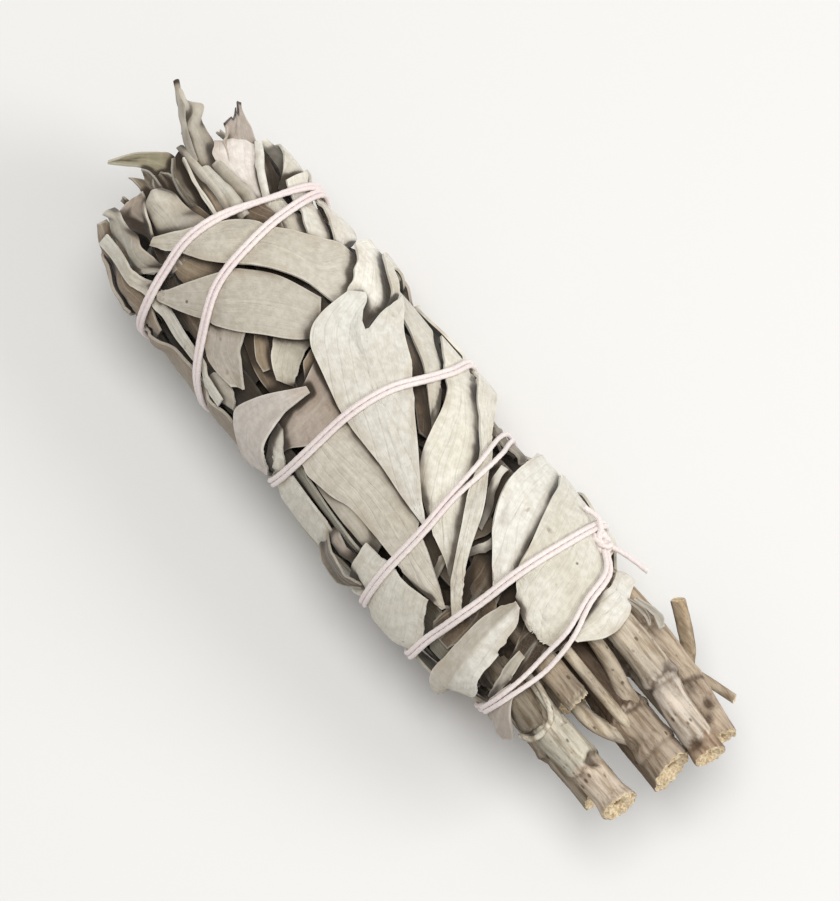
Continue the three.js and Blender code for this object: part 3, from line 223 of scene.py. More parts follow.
class Sheet:
    """A leaf as a grid of bundle coordinates, u from its foot to its tip and t across it."""

    # A curled margin's share of the width, a tucked-in foot's share of the length and its depth
    CURLED_SHARE = 0.22
    ROOTED_SHARE = 0.12
    ROOTED_DEPTH = 1.5

    def __init__(self, leaf, cell, seed):
        self.leaf = leaf
        self.rng = np.random.default_rng(seed)
        coarse = np.linspace(0, 1, 21)
        left, right = (smooth_line(leaf[side], coarse) for side in ("left", "right"))
        scale = np.array([1, MM_PER_DEGREE])
        middle = (left + right) / 2 * scale
        self.length = np.linalg.norm(np.diff(middle, axis=0), axis=1).sum()
        self.width = np.linalg.norm((left - right) * scale, axis=1).max()
        along = int(np.clip(round(self.length / cell), 10, 96))
        across = int(np.clip(round(self.width / cell), 6, 44))
        self.u, self.t = np.meshgrid(
            np.linspace(0, 1, along + 1), np.linspace(0, 1, across + 1), indexing="ij"
        )
        self.set_outline(along, across)
        self.r = np.zeros_like(self.x)

    def set_outline(self, along, across):
        """Places the grid between its two margins, which wander and may be jagged."""
        shares = np.linspace(0, 1, across + 1)
        foot = np.interp(shares, *np.array(self.leaf.get("foot", [(0, 0), (1, 0)])).T)
        reach = np.interp(shares, *np.array(self.leaf.get("end", [(0, 1), (1, 1)])).T)
        reach = reach - self.leaf.get("ragged", 0) * self.torn(across + 1)
        u = np.linspace(0, 1, along + 1)
        fine = np.linspace(0, 1, 201)
        left, right = (smooth_line(self.leaf[side], fine) for side in ("left", "right"))
        bend = self.leaf.get("waver", 0.18) / self.width
        wave_left = wander(along + 1, 7, self.rng) * bend * np.sin(np.pi * u)
        wave_right = wander(along + 1, 7, self.rng) * bend * np.sin(np.pi * u)
        jag = self.leaf.get("jag", 0) / self.width
        if jag:
            teeth = self.rng.uniform(-jag, jag, (2, max(4, along // 3)))
            for wave, row in zip((wave_left, wave_right), teeth):
                wave += np.interp(u, np.linspace(0, 1, len(row)), row)
        share = self.t + wave_left[:, None] * (1 - self.t) + wave_right[:, None] * self.t
        down = foot[None, :] + self.u * (reach - foot)[None, :]
        self.x, self.phi = (
            np.interp(down, fine, left[:, k]) * (1 - share)
            + np.interp(down, fine, right[:, k]) * share
            for k in (0, 1)
        )

    def torn(self, count):
        """How far short of the tip each strand of a torn leaf ends, from 0 to 1."""
        teeth = self.rng.uniform(0, 1, max(3, count // 3))
        return np.interp(np.linspace(0, 1, count), np.linspace(0, 1, len(teeth)), teeth)

    def relaxed(self):
        """How far the leaf stands off: its crown, curled margins, creases and ripples."""
        leaf = self.leaf
        left_curl, right_curl = leaf.get("curl", (0.0, 0.0))
        bow = leaf.get("crown", 0.3) * np.sin(np.pi * self.t)
        bow += left_curl * np.clip(1 - self.t / self.CURLED_SHARE, 0, 1) ** 2
        bow += right_curl * np.clip(1 - (1 - self.t) / self.CURLED_SHARE, 0, 1) ** 2
        bow *= np.sin(np.pi * np.clip(self.u, 0.08, 0.92))
        for line, height, wide, _ in leaf.get("creases", ()):
            bow += height * np.exp(-((self.away_from(line) / wide) ** 2))
        ripple = leaf.get("ripple", 0.16)
        along = self.u * self.length
        phase = self.rng.uniform(0, 6.28, 3)
        bow += ripple * np.sin(along * 0.55 + 3 * self.t + phase[0])
        bow += 0.6 * ripple * np.sin(along * 1.15 - 4 * self.t + phase[1])
        return bow

    def marked(self):
        """Painted shade at the bottoms of the leaf's creases, and the brown of its broken end, from
        0 to 1.
        """
        share = np.zeros_like(self.x)
        for line, _, wide, dark in self.leaf.get("creases", ()):
            if dark:
                near = np.exp(-((self.away_from(line) / (0.6 * wide)) ** 2))
                share = np.maximum(share, dark * near)
        browned = self.leaf.get("browned", 0)
        return np.maximum(share, browned * np.clip((self.u - 0.8) / 0.2, 0, 1))

    def away_from(self, line):
        """Distance in millimetres from a line of (x, phi) points on the bundle's surface."""
        nearest = np.full_like(self.x, FAR)
        for start, end in zip(line, line[1:]):
            px = self.x - start[0]
            py = (self.phi - start[1]) * MM_PER_DEGREE
            dx = end[0] - start[0]
            dy = (end[1] - start[1]) * MM_PER_DEGREE
            share = np.clip((px * dx + py * dy) / (dx * dx + dy * dy), 0, 1)
            nearest = np.minimum(nearest, np.hypot(px - share * dx, py - share * dy))
        return nearest

    def lay(self, relief, thickness, gap, rooted=False):
        """Drapes the leaf over what is on the bundle, as a stiff sheet that bridges hollows."""
        if "rise" in self.leaf:
            rise = self.leaf["rise"]
            self.r = np.interp(self.u, np.linspace(0, 1, len(rise)), rise)
            self.r += self.leaf.get("cup", 0) * ((2 * self.t - 1) ** 2 - 0.3)
            self.r += 0.3 * self.relaxed()
        else:
            layers = np.atleast_1d(self.leaf["level"])
            layers = np.interp(self.u, np.linspace(0, 1, len(layers)), layers)
            level = core_radius(self.x, self.phi) + layers * LAYER + LIFT
            under = relief.near(self.x, self.phi) + gap
            stop = np.maximum(level, under)
            r = stop + self.relaxed()
            for _ in range(self.leaf.get("stiff", 28)):
                r = np.maximum(stop, blur(r, 1))
            r = np.maximum(r, stop + 0.6 * np.maximum(self.relaxed_again(), 0))
            self.r = blur(r, 2)
        floor = floor_radius(AXIS_HEIGHT - thickness, self.phi)
        if "flat" in self.leaf:
            start, end, half = self.leaf["flat"]
            inside = np.minimum(self.x - start, end - self.x) + 1
            inside = np.minimum(inside, (half + 3 - np.abs(self.phi - 180)) * MM_PER_DEGREE)
            share = np.clip(inside / 1.5, 0, 1)
            self.r = self.r * (1 - share) + floor * share
        self.r = np.minimum(self.r, floor)
        if rooted:
            sink = (1 - self.u / self.ROOTED_SHARE) * self.ROOTED_DEPTH
            self.r = self.r - np.maximum(sink, 0)
        outer = self.r + thickness * OUTER_FACE
        relief.stamp(finer(self.x, 3), finer(self.phi, 3), finer(outer, 3))

    def relaxed_again(self):
        """A stand-off of the same shape with other ripples, from random draws that start over."""
        self.rng = np.random.default_rng(self.rng.bit_generator.seed_seq.entropy)
        self.rng.uniform(0, 1, 40)
        return self.relaxed()


# The wrapping leaves, in the order in which they lie on the bundle, each between two margins of
# (x, phi) points from its foot to its tip. level is its layer, stiff how often it is evened out,
# curl how far its two margins lift, and creases are (line, height, width, darkness)
# A crease's darkness is painted shade along its line
WRAPPING_LEAVES = [
    {
        "name": "leaf_side_tip", "level": 2.3, "tint": "pale", "spots": 0.9, "curl": (0.4, 0.4),
        "shade": 0.84,
        "left": [(-47, -50), (-42, -49.5), (-38, -50), (-34.9, -52), (-31, -54.5),
                 (-27.8, -56), (-25, -58.5), (-20, -62)],
        "right": [(-47, -57), (-42, -57), (-38, -58), (-35.5, -59.5), (-32, -62), (-28.3, -63),
                  (-25, -65), (-20, -68)],
    },
    {
        "name": "leaf_side_low", "level": 2.3, "tint": "earth", "spots": 1, "jag": 0.4,
        "left": [(-37, -84), (-34, -74), (-29, -71), (-22, -70), (-16, -73), (-12, -82)],
        "right": [(-37, -98), (-33, -105), (-26, -108), (-20, -106), (-15, -100), (-12, -92)],
    },
    {
        "name": "leaf_tip_low", "level": 2, "tint": "earth", "spots": 1.1, "jag": 0.7,
        "left": [(-49.5, -72), (-46, -66), (-41, -67), (-38, -74)],
        "right": [(-49.5, -90), (-46, -99), (-41, -100), (-38, -92)],
    },
    {
        "name": "leaf_mottled", "level": 2.1, "tint": "mottled", "spots": 1.0, "shade": 1.1,
        "left": [(-15, -6), (-13.6, -18), (-12.8, -34), (-11.5, -54), (-10, -68)],
        "right": [(-6.2, -8), (-6.4, -25), (-7, -38), (-8.8, -50), (-9.3, -62)],
    },
    {
        "name": "leaf_below_mottled", "level": 2.2, "tint": "pale",
        "left": [(-12, -43), (-11.5, -54), (-10.6, -68), (-10.5, -88)],
        "right": [(-11, -43), (-9.2, -51), (-7.8, -60), (-7.8, -73), (-8, -88)],
    },
    {
        "name": "leaf_ribbon", "level": 1.9, "tint": "green", "spots": 0.8, "shade": 0.42,
        "left": [(-6.6, -50), (-3, -51), (1, -53), (5, -54), (9, -56)],
        "right": [(-6.6, -59), (-2, -59.5), (4, -60), (8, -60), (9.5, -58)],
    },
    {
        "name": "leaf_side_middle", "level": 2.4, "tint": "pale",
        "left": [(-6, -60), (-7.2, -70), (-7.6, -86), (-6, -106)],
        "right": [(1.6, -60.5), (3, -65), (3.6, -75), (3.5, -90), (1, -106)],
    },
    {
        "name": "leaf_broad_low", "level": 2.6, "tint": "cream", "stiff": 60,
        "creases": [([(-3.8, -20.5), (1, -22.5), (5.6, -23.6), (10.2, -25.2), (14, -27)],
                     0.3, 0.3, 0.6)],
        "left": [(-6, -14), (-2, -13), (4, -14), (9, -18), (13, -23.5), (16.5, -29), (19, -33.5),
                 (20.8, -37.5)],
        "right": [(-6, -49), (-3, -48), (0, -45.5), (3, -41.5), (7, -40.5), (12, -41.5),
                  (16, -42), (18.5, -40.5), (20.6, -39)],
    },
    {
        "name": "leaf_side_right", "level": 3.1, "tint": "pale", "curl": (0.0, 0.3),
        "left": [(7.6, -47.5), (7.8, -55), (8.3, -68), (9.5, -84), (12, -100)],
        "right": [(18.7, -40.5), (19.6, -50), (20.8, -62), (21.6, -76), (21.4, -88), (18, -100)],
        "foot": [(0, 0), (0.35, 0.015), (0.7, 0.03), (1, 0)],
    },
    {
        "name": "leaf_short_left", "level": 2.5, "tint": "taupe", "curl": (0.0, 0.6), "spots": 0.7,
        "left": [(-29.5, -22), (-29.5, -34), (-27.6, -44), (-24.8, -52), (-20, -51)],
        "right": [(-25, -14), (-24.2, -22), (-23.2, -30), (-21.4, -38), (-18.6, -47)],
    },
    {
        "name": "leaf_folded_left", "level": 3.1, "tint": "blush", "curl": (0.2, 1.5), "crown": 0.6,
        "spots": 0.6,
        "left": [(-12.8, -18.5), (-13.8, -25), (-15.2, -33), (-16.6, -44), (-17.5, -55),
                 (-17, -64), (-15.5, -74), (-13, -95)],
        "right": [(-11.8, -19), (-12, -27), (-12.1, -36), (-11.7, -45), (-11, -54), (-10.1, -64),
                  (-9.4, -74), (-9.5, -95)],
    },
    {
        "name": "leaf_back_tip", "level": 2, "tint": "pale",
        "left": [(-47, 85), (-43, 66), (-40, 54), (-38, 47)],
        "right": [(-40, 90), (-38, 72), (-36.5, 58), (-36, 48)],
    },
    {
        "name": "leaf_strip_back", "level": 2.5, "tint": "white", "curl": (0.0, 0.4),
        "left": [(-38, 47), (-34, 44), (-31, 38), (-28.6, 33)],
        "right": [(-38, 62), (-33.6, 57.5), (-30, 52), (-26.6, 41.5)],
    },
    {
        "name": "leaf_back_left", "level": 2.9, "tint": "white", "curl": (0.3, 0.3),
        "left": [(-39, 72), (-35, 60), (-31, 55), (-28, 47.5), (-26.2, 42.5)],
        "right": [(-34, 98), (-30, 84), (-27, 70), (-25.8, 58), (-25.2, 45)],
    },
    {
        "name": "leaf_cross_lower", "stiff": 90, "level": 3, "tint": "cream", "shade": 0.88,
        "left": [(-36.6, -51), (-35.6, -44), (-34, -30), (-31.5, -12), (-27, 5), (-21, 15)],
        "right": [(-35.8, -53), (-33, -47.5), (-29.5, -39), (-25, -29), (-21.5, -18), (-18, -6),
                  (-17, 2)],
    },
    {
        "name": "leaf_cross_upper", "stiff": 90, "level": 3.4, "tint": "cream", "shade": 0.95,
        "left": [(-42, -31), (-40.5, -20), (-38.4, -5), (-36.4, 9), (-33.6, 18), (-31.2, 26),
                 (-28.6, 35), (-26, 44), (-24, 48)],
        "right": [(-41.6, -36), (-38, -26), (-34.5, -17), (-31, -5), (-27, 7), (-23.5, 14),
                  (-19.4, 18), (-19.3, 28), (-20.5, 36), (-22.8, 47)],
    },
    {
        "name": "leaf_right_inner", "level": 2.9, "tint": "white", "curl": (0.4, 0.0), "spots": 0.4,
        "left": [(14, 101), (11.4, 82), (12, 58), (12.4, 40), (13.2, 27), (14.8, 16), (16.6, 8),
                 (19, 1), (20.9, -5), (23.2, -12)],
        "right": [(15, 101), (16.6, 80), (17.6, 56), (18.8, 44), (20, 32), (21, 22), (22, 14),
                  (23.2, 6), (24, -3), (23.6, -11)],
    },
    {
        "name": "leaf_collar_back", "level": 2.4, "tint": "white", "spots": 0.5,
        "left": [(31.4, 84), (30.2, 68), (31.2, 54), (32, 40), (33, 20), (34, 4)],
        "right": [(32, 84), (33.4, 66), (34.6, 54), (36.2, 42), (37, 30), (36.6, 20), (35, 6)],
    },
    {
        "name": "leaf_collar_low", "level": 2.5, "tint": "pink",
        "left": [(33.5, -41), (33, -58), (33, -75), (34, -92)],
        "right": [(35, -46), (37, -58), (38.5, -70), (37.5, -88)],
    },
    {
        "name": "leaf_right_large", "level": 3.4, "tint": "pale", "spots": 0.6, "shade": 0.93,
        "creases": [([(28.6, 44), (30.4, 2)], 0.5, 0.7, 0), ([(27.4, 40), (29, 5)], -0.3, 0.8, 0),
                    ([(20, 40), (25, 8)], 0.2, 0.7, 0)],
        "left": [(20, 106), (15.8, 88), (15.8, 67), (17.2, 55), (18, 45), (19.6, 31), (21.6, 16),
                 (23, 5), (24.4, 0), (27.5, -8), (30, -10)],
        "right": [(22, 106), (26.6, 86), (28.5, 58), (30.6, 44), (32, 30), (33, 12), (33.4, -2),
                  (33, -8), (31.8, -10.5)],
    },
    {
        "name": "leaf_folded_right", "level": 3.7, "tint": "cream", "second": "white",
        "curl": (0.0, 0.5), "shade": 0.97,
        "creases": [([(27, -8), (27.3, -25), (27.8, -40), (28.3, -64)], 0.7, 0.9, 0),
                    ([(27, -8), (27, -25), (27.4, -40), (27.9, -64)], 0, 0.3, 0.45)],
        "left": [(26.6, -7), (25.7, -14), (25.2, -24), (25.3, -36), (25.4, -52), (25.4, -66),
                 (25.6, -78), (26.6, -94)],
        "right": [(27.4, -7.5), (28.7, -13), (29.3, -22), (30, -37), (30.5, -50), (31.2, -61),
                  (30.8, -74), (29, -94)],
    },
    {
        "name": "leaf_long_back", "level": 2.4, "tint": "pale",
        "left": [(-21, 114), (-21.6, 92), (-20, 68), (-15.2, 54), (-10.6, 47), (-7.3, 41),
                 (-4.2, 33), (-1.6, 26), (0.6, 20), (2, 16)],
        "right": [(-19.6, 114), (-13.4, 94), (-10.4, 72), (-8.6, 61), (-6.8, 54), (-3.9, 45),
                  (-2.3, 38), (-0.2, 29), (1, 22), (2.1, 16.5)],
    },
    {
        "name": "leaf_middle_right", "level": 3, "tint": "pale", "stiff": 60, "shade": 1.02,
        "left": [(-10, 98), (-9.4, 74), (-6.2, 55), (-2.6, 43), (0.1, 29), (2.1, 15), (4.6, 0),
                 (8.7, -11), (13, -17), (16.4, -20.5), (18.7, -25)],
        "right": [(-8.6, 99), (-3, 78), (-0.6, 62), (1.5, 50), (4.9, 39), (8, 28), (10.8, 14),
                  (13.6, 0), (16, -11), (17.8, -19.5), (19, -24.5)],
        "creases": [([(2.6, 14), (7, 0), (13, -12)], 0.25, 0.5, 0)],
    },
    {
        "name": "leaf_narrow_folded", "level": 3.6, "tint": "pale", "curl": (0.1, 0.4),
        "creases": [([(7, 38), (13.4, 12), (17.2, -8), (21.4, -30)], 0.5, 0.6, 0)],
        "left": [(-4.6, 90), (-2, 70), (1.5, 49), (4.6, 39), (8, 27), (11.8, 8), (15.7, -9),
                 (18.6, -22), (22.2, -39)],
        "right": [(-4, 91), (1.4, 74), (5, 56), (7.6, 42), (11.1, 23), (14.9, 7), (17.7, -8),
                  (20.4, -22), (22.8, -35)],
    },
    {
        "name": "leaf_upper_middle", "level": (3.9, 3.9, 3.7, 2.2), "tint": "white",
        "curl": (0.5, 0.0), "waver": 0.1, "stiff": 90, "shade": 1.1,
        "creases": [([(-22.2, 42), (-19.4, 29)], 0.4, 0.5, 0)],
        "left": [(-24.4, 112), (-26.4, 90), (-25.8, 70), (-25.2, 52), (-23, 44.5), (-21.8, 37),
                 (-20.6, 33), (-19.8, 27), (-18.4, 22), (-15.8, 18.5)],
        "right": [(-23, 112), (-20, 92), (-20.4, 70), (-19, 57), (-17.4, 51), (-15.4, 46),
                  (-14, 40), (-13.4, 34), (-13, 26), (-13.4, 19)],
    },
    {
        "name": "leaf_curled_strip", "level": (4.1, 4.1, 3.9, 2.4), "tint": "pale",
        "curl": (0.5, 0.3), "waver": 0.05,
        "left": [(-23, 104), (-22.8, 68), (-20.6, 58), (-18.7, 51.5), (-16.8, 46.5),
                 (-15.5, 40), (-14.9, 34), (-14.7, 28), (-14, 22), (-13, 17), (-11.6, 15)],
        "right": [(-19.2, 104), (-20.2, 66), (-19.2, 61), (-17.8, 56.5), (-16.6, 52.5),
                  (-15.6, 48), (-14.9, 43), (-13.8, 36), (-12.4, 28), (-11.2, 22), (-10.6, 17)],
    },
    {
        "name": "leaf_centre", "level": (4, 3.8, 3.7, 3.7), "tint": "white", "crown": 0.3,
        "waver": 0.05, "stiff": 160, "shade": 0.84,
        "foot": [(0, 0), (0.18, 0.08), (0.26, 0.15), (0.33, 0.22), (0.4, 0.285), (0.44, 0.3),
                 (0.47, 0.27), (0.5, 0.2), (0.54, 0.12), (0.6, 0.04), (0.68, 0.0), (1, 0.0)],
        "creases": [([(-16.8, 26), (-15.4, 19), (-13.9, 15)], 0.35, 0.7, 0),
                    ([(-12.3, 16), (-11.6, 13), (-11.8, 10), (-10.9, 6)], -0.12, 0.3, 0.7),
                    ([(-11, 5), (-8.7, 2), (-5, -3)], 0.15, 0.4, 0.25),
                    ([(-9.5, 9), (-6, 2), (8, -12)], 0.15, 0.5, 0.15),
                    ([(-3, 5), (0.8, -1), (6, -9)], -0.15, 0.4, 0.2),
                    ([(-3.5, -5), (-0.8, -8), (4, -12)], -0.15, 0.4, 0.2)],
        "left": [(-15.4, 47), (-13.8, 44), (-12.6, 40), (-11, 36.5), (-9.2, 33), (-7.2, 29.5),
                 (-5.6, 26), (-3.6, 20.5), (-1.4, 14), (3, 3.5), (7, -6.5), (11, -16.4)],
        "right": [(-19.4, 25), (-19.3, 18), (-19, 8), (-18, 0), (-16.1, -5), (-13, -8),
                  (-9.8, -11), (-6, -14), (-2, -14.6), (2, -15), (6, -16.4), (10.8, -17.5)],
    },
]

# Leaves of the hidden side: x and phi of the middle, half the length, half the width in degrees,
# and how many degrees the leaf turns round the bundle
HIDDEN_LEAVES = [
    (-38, 118, 10, 22, 14), (-38, 160, 10, 22, -12), (-37, 205, 10, 21, 10),
    (-37, 240, 9, 17, -8), (-22, 122, 11, 22, -16), (-21, 178, 10, 24, 12),
    (-19, 226, 10, 20, -12), (-4, 112, 11, 24, 16), (-2, 232, 11, 22, 12),
    (12, 120, 10, 24, -14), (12, 172, 11, 24, 10), (12, 222, 9, 22, -12), (26, 110, 8, 21, 4),
    (26, 152, 8, 19, -4), (28, 214, 7, 22, 6), (27, 246, 7, 12, -4),
]
HIDDEN_TINTS = ("cream", "grey", "pale", "green", "pink")

# The two that the bundle lies on: flat is the start, the end and half the width of the flat spot
REST_LEAVES = [
    {
        "name": "leaf_rest", "level": 2.9, "tint": "cream", "flat": (-14, 3, 17),
        "left": [(-16.8, 174), (-12.5, 160), (-7, 156), (-1.6, 163), (2.6, 176)],
        "right": [(-15, 187), (-11, 200), (-6, 204), (-1, 200), (2.8, 187)],
    },
    {
        "name": "leaf_rest_stem", "level": 2.9, "tint": "grey", "flat": (16, 24.4, 14),
        "left": [(16.4, 171), (19, 161), (22, 161), (24, 171)],
        "right": [(17.8, 185), (19.6, 197), (22.5, 199), (24.4, 187)],
    },
]

# Small inner leaves that show in the gaps between the wrapping ones
SHOWN_INNER_LEAVES = [
    {"level": 0.9, "tint": "earth",
     "left": [(-27, -10), (-22, -15), (-17, -20), (-13, -25)],
     "right": [(-28, -26), (-23, -33), (-18, -39), (-14, -40)]},
    {"level": 1.3, "tint": "tan", "curl": (0.3, 0.0),
     "left": [(-24.5, -12), (-22.5, -17), (-20, -23), (-18, -28)],
     "right": [(-24.6, -19), (-22.6, -25), (-20.5, -31), (-18.5, -33)]},
    {"level": 1.7, "tint": "pale", "curl": (0.5, 0.0),
     "left": [(-22, 2), (-21, -15), (-19, -24), (-16.4, -29.5)],
     "right": [(-17, 4), (-16.6, -10), (-15, -20), (-14.2, -25)]},
    {"level": 1.4, "tint": "tan",
     "left": [(-17, 2), (-15.8, -12), (-13.8, -18)],
     "right": [(-12.6, 2), (-11.6, -10), (-12.6, -17)]},
    {"level": 1.4, "tint": "tan",
     "left": [(-42, -33), (-38, -27), (-35, -18), (-32, -10)],
     "right": [(-41, -38), (-38, -39), (-34, -37), (-31, -28)]},
    {"level": 1.1, "tint": "brown",
     "left": [(-42, -43), (-36, -42), (-30, -43), (-26, -46), (-22, -51)],
     "right": [(-42, -54), (-36, -56), (-29, -56), (-25, -56), (-22, -55)]},
    {"level": 2.4, "tint": "cream", "curl": (0.4, 0.4),
     "left": [(-18.2, -66), (-18.4, -59), (-20, -53.5), (-22.5, -52.5)],
     "right": [(-20, -70), (-22.4, -67), (-23.6, -62), (-23.4, -56)]},
    {"level": 2.1, "tint": "cream", "crown": 0.8,
     "left": [(-6, -41), (-1, -40), (4, -40), (9, -42)],
     "right": [(-6, -50), (-2, -51), (4, -53), (9.6, -53)]},
    {"level": 1, "tint": "brown", "shade": 0.75, "spots": 1,
     "left": [(17, 0), (19, -16), (20.5, -34), (21, -58)],
     "right": [(22.5, 2), (24.6, -16), (25.2, -36), (24.6, -58)]},
    {"level": 1.9, "tint": "pale",
     "left": [(14.6, -12), (15, -17), (15.6, -24), (16.4, -32)],
     "right": [(15.6, -12), (16, -17), (16.6, -24), (17.4, -32)]},
    {"level": 2.2, "tint": "tan",
     "left": [(14, 12), (15, 4), (15.6, -4)],
     "right": [(17.2, 12), (17.2, 4), (16.7, -4)]},
    {"level": 2, "tint": "pale",
     "left": [(17.7, 9), (17.9, 1), (17.2, -7), (16.6, -13)],
     "right": [(19.2, 9), (19.1, 1), (18.3, -7), (17.7, -13)]},
    # Darkened in part as painted shade for the deep gap that it fills
    {"level": 1.5, "tint": "brown", "shade": 0.6, "spots": 1,
     "left": [(-15, 44), (-10, 37), (-4.6, 25), (1, 11)],
     "right": [(-12, 56), (-6.4, 46), (-0.6, 31), (3.4, 14)]},
    # A near-black sheet of painted shade, deep in a gap between the wrapping leaves
    {"level": 1.8, "tint": "soot",
     "left": [(9, 44), (11.6, 24), (14.4, 9)],
     "right": [(12.6, 46), (14, 25), (15.8, 9)]},
    {"level": 3, "tint": "white",
     "left": [(10.6, 38), (11.5, 27), (12.7, 18), (14.6, 9), (15.7, 2)],
     "right": [(11.8, 40), (12.3, 28), (13.7, 19), (15.5, 10), (16.5, 2)]},
    # Darkened in part as painted shade for the deep gap that it fills
    {"level": 1.2, "tint": "brown", "shade": 0.5,
     "left": [(24, 20), (28, -4), (30, -20), (32, -48)],
     "right": [(33.6, 20), (34, -4), (34, -20), (34, -48)]},
    {"level": 1.7, "tint": "cream", "curl": (0.4, 0.0), "shade": 0.8,
     "left": [(30.9, -22), (31.5, -35), (32, -50), (32.4, -64)],
     "right": [(32, -22), (32.8, -36), (33.4, -50), (33.4, -63)]},
    {"level": 1.6, "tint": "blush", "curl": (0.3, 0.0),
     "left": [(-40, 20), (-37.6, 21), (-35.6, 24), (-33.4, 22)],
     "right": [(-40, 40), (-37, 40), (-35, 40), (-33, 32)]},
    {"level": 1.9, "tint": "pale", "curl": (0.0, 0.4),
     "left": [(-38, 24), (-35, 24), (-32, 22), (-29, 26)],
     "right": [(-38, 46), (-34.6, 45), (-31.4, 41), (-28.2, 33)]},
    {"level": 1.0, "tint": "brown",
     "left": [(-38, 2), (-35, 8), (-32, 14)],
     "right": [(-38, 30), (-34.4, 28), (-31, 26)]},
]

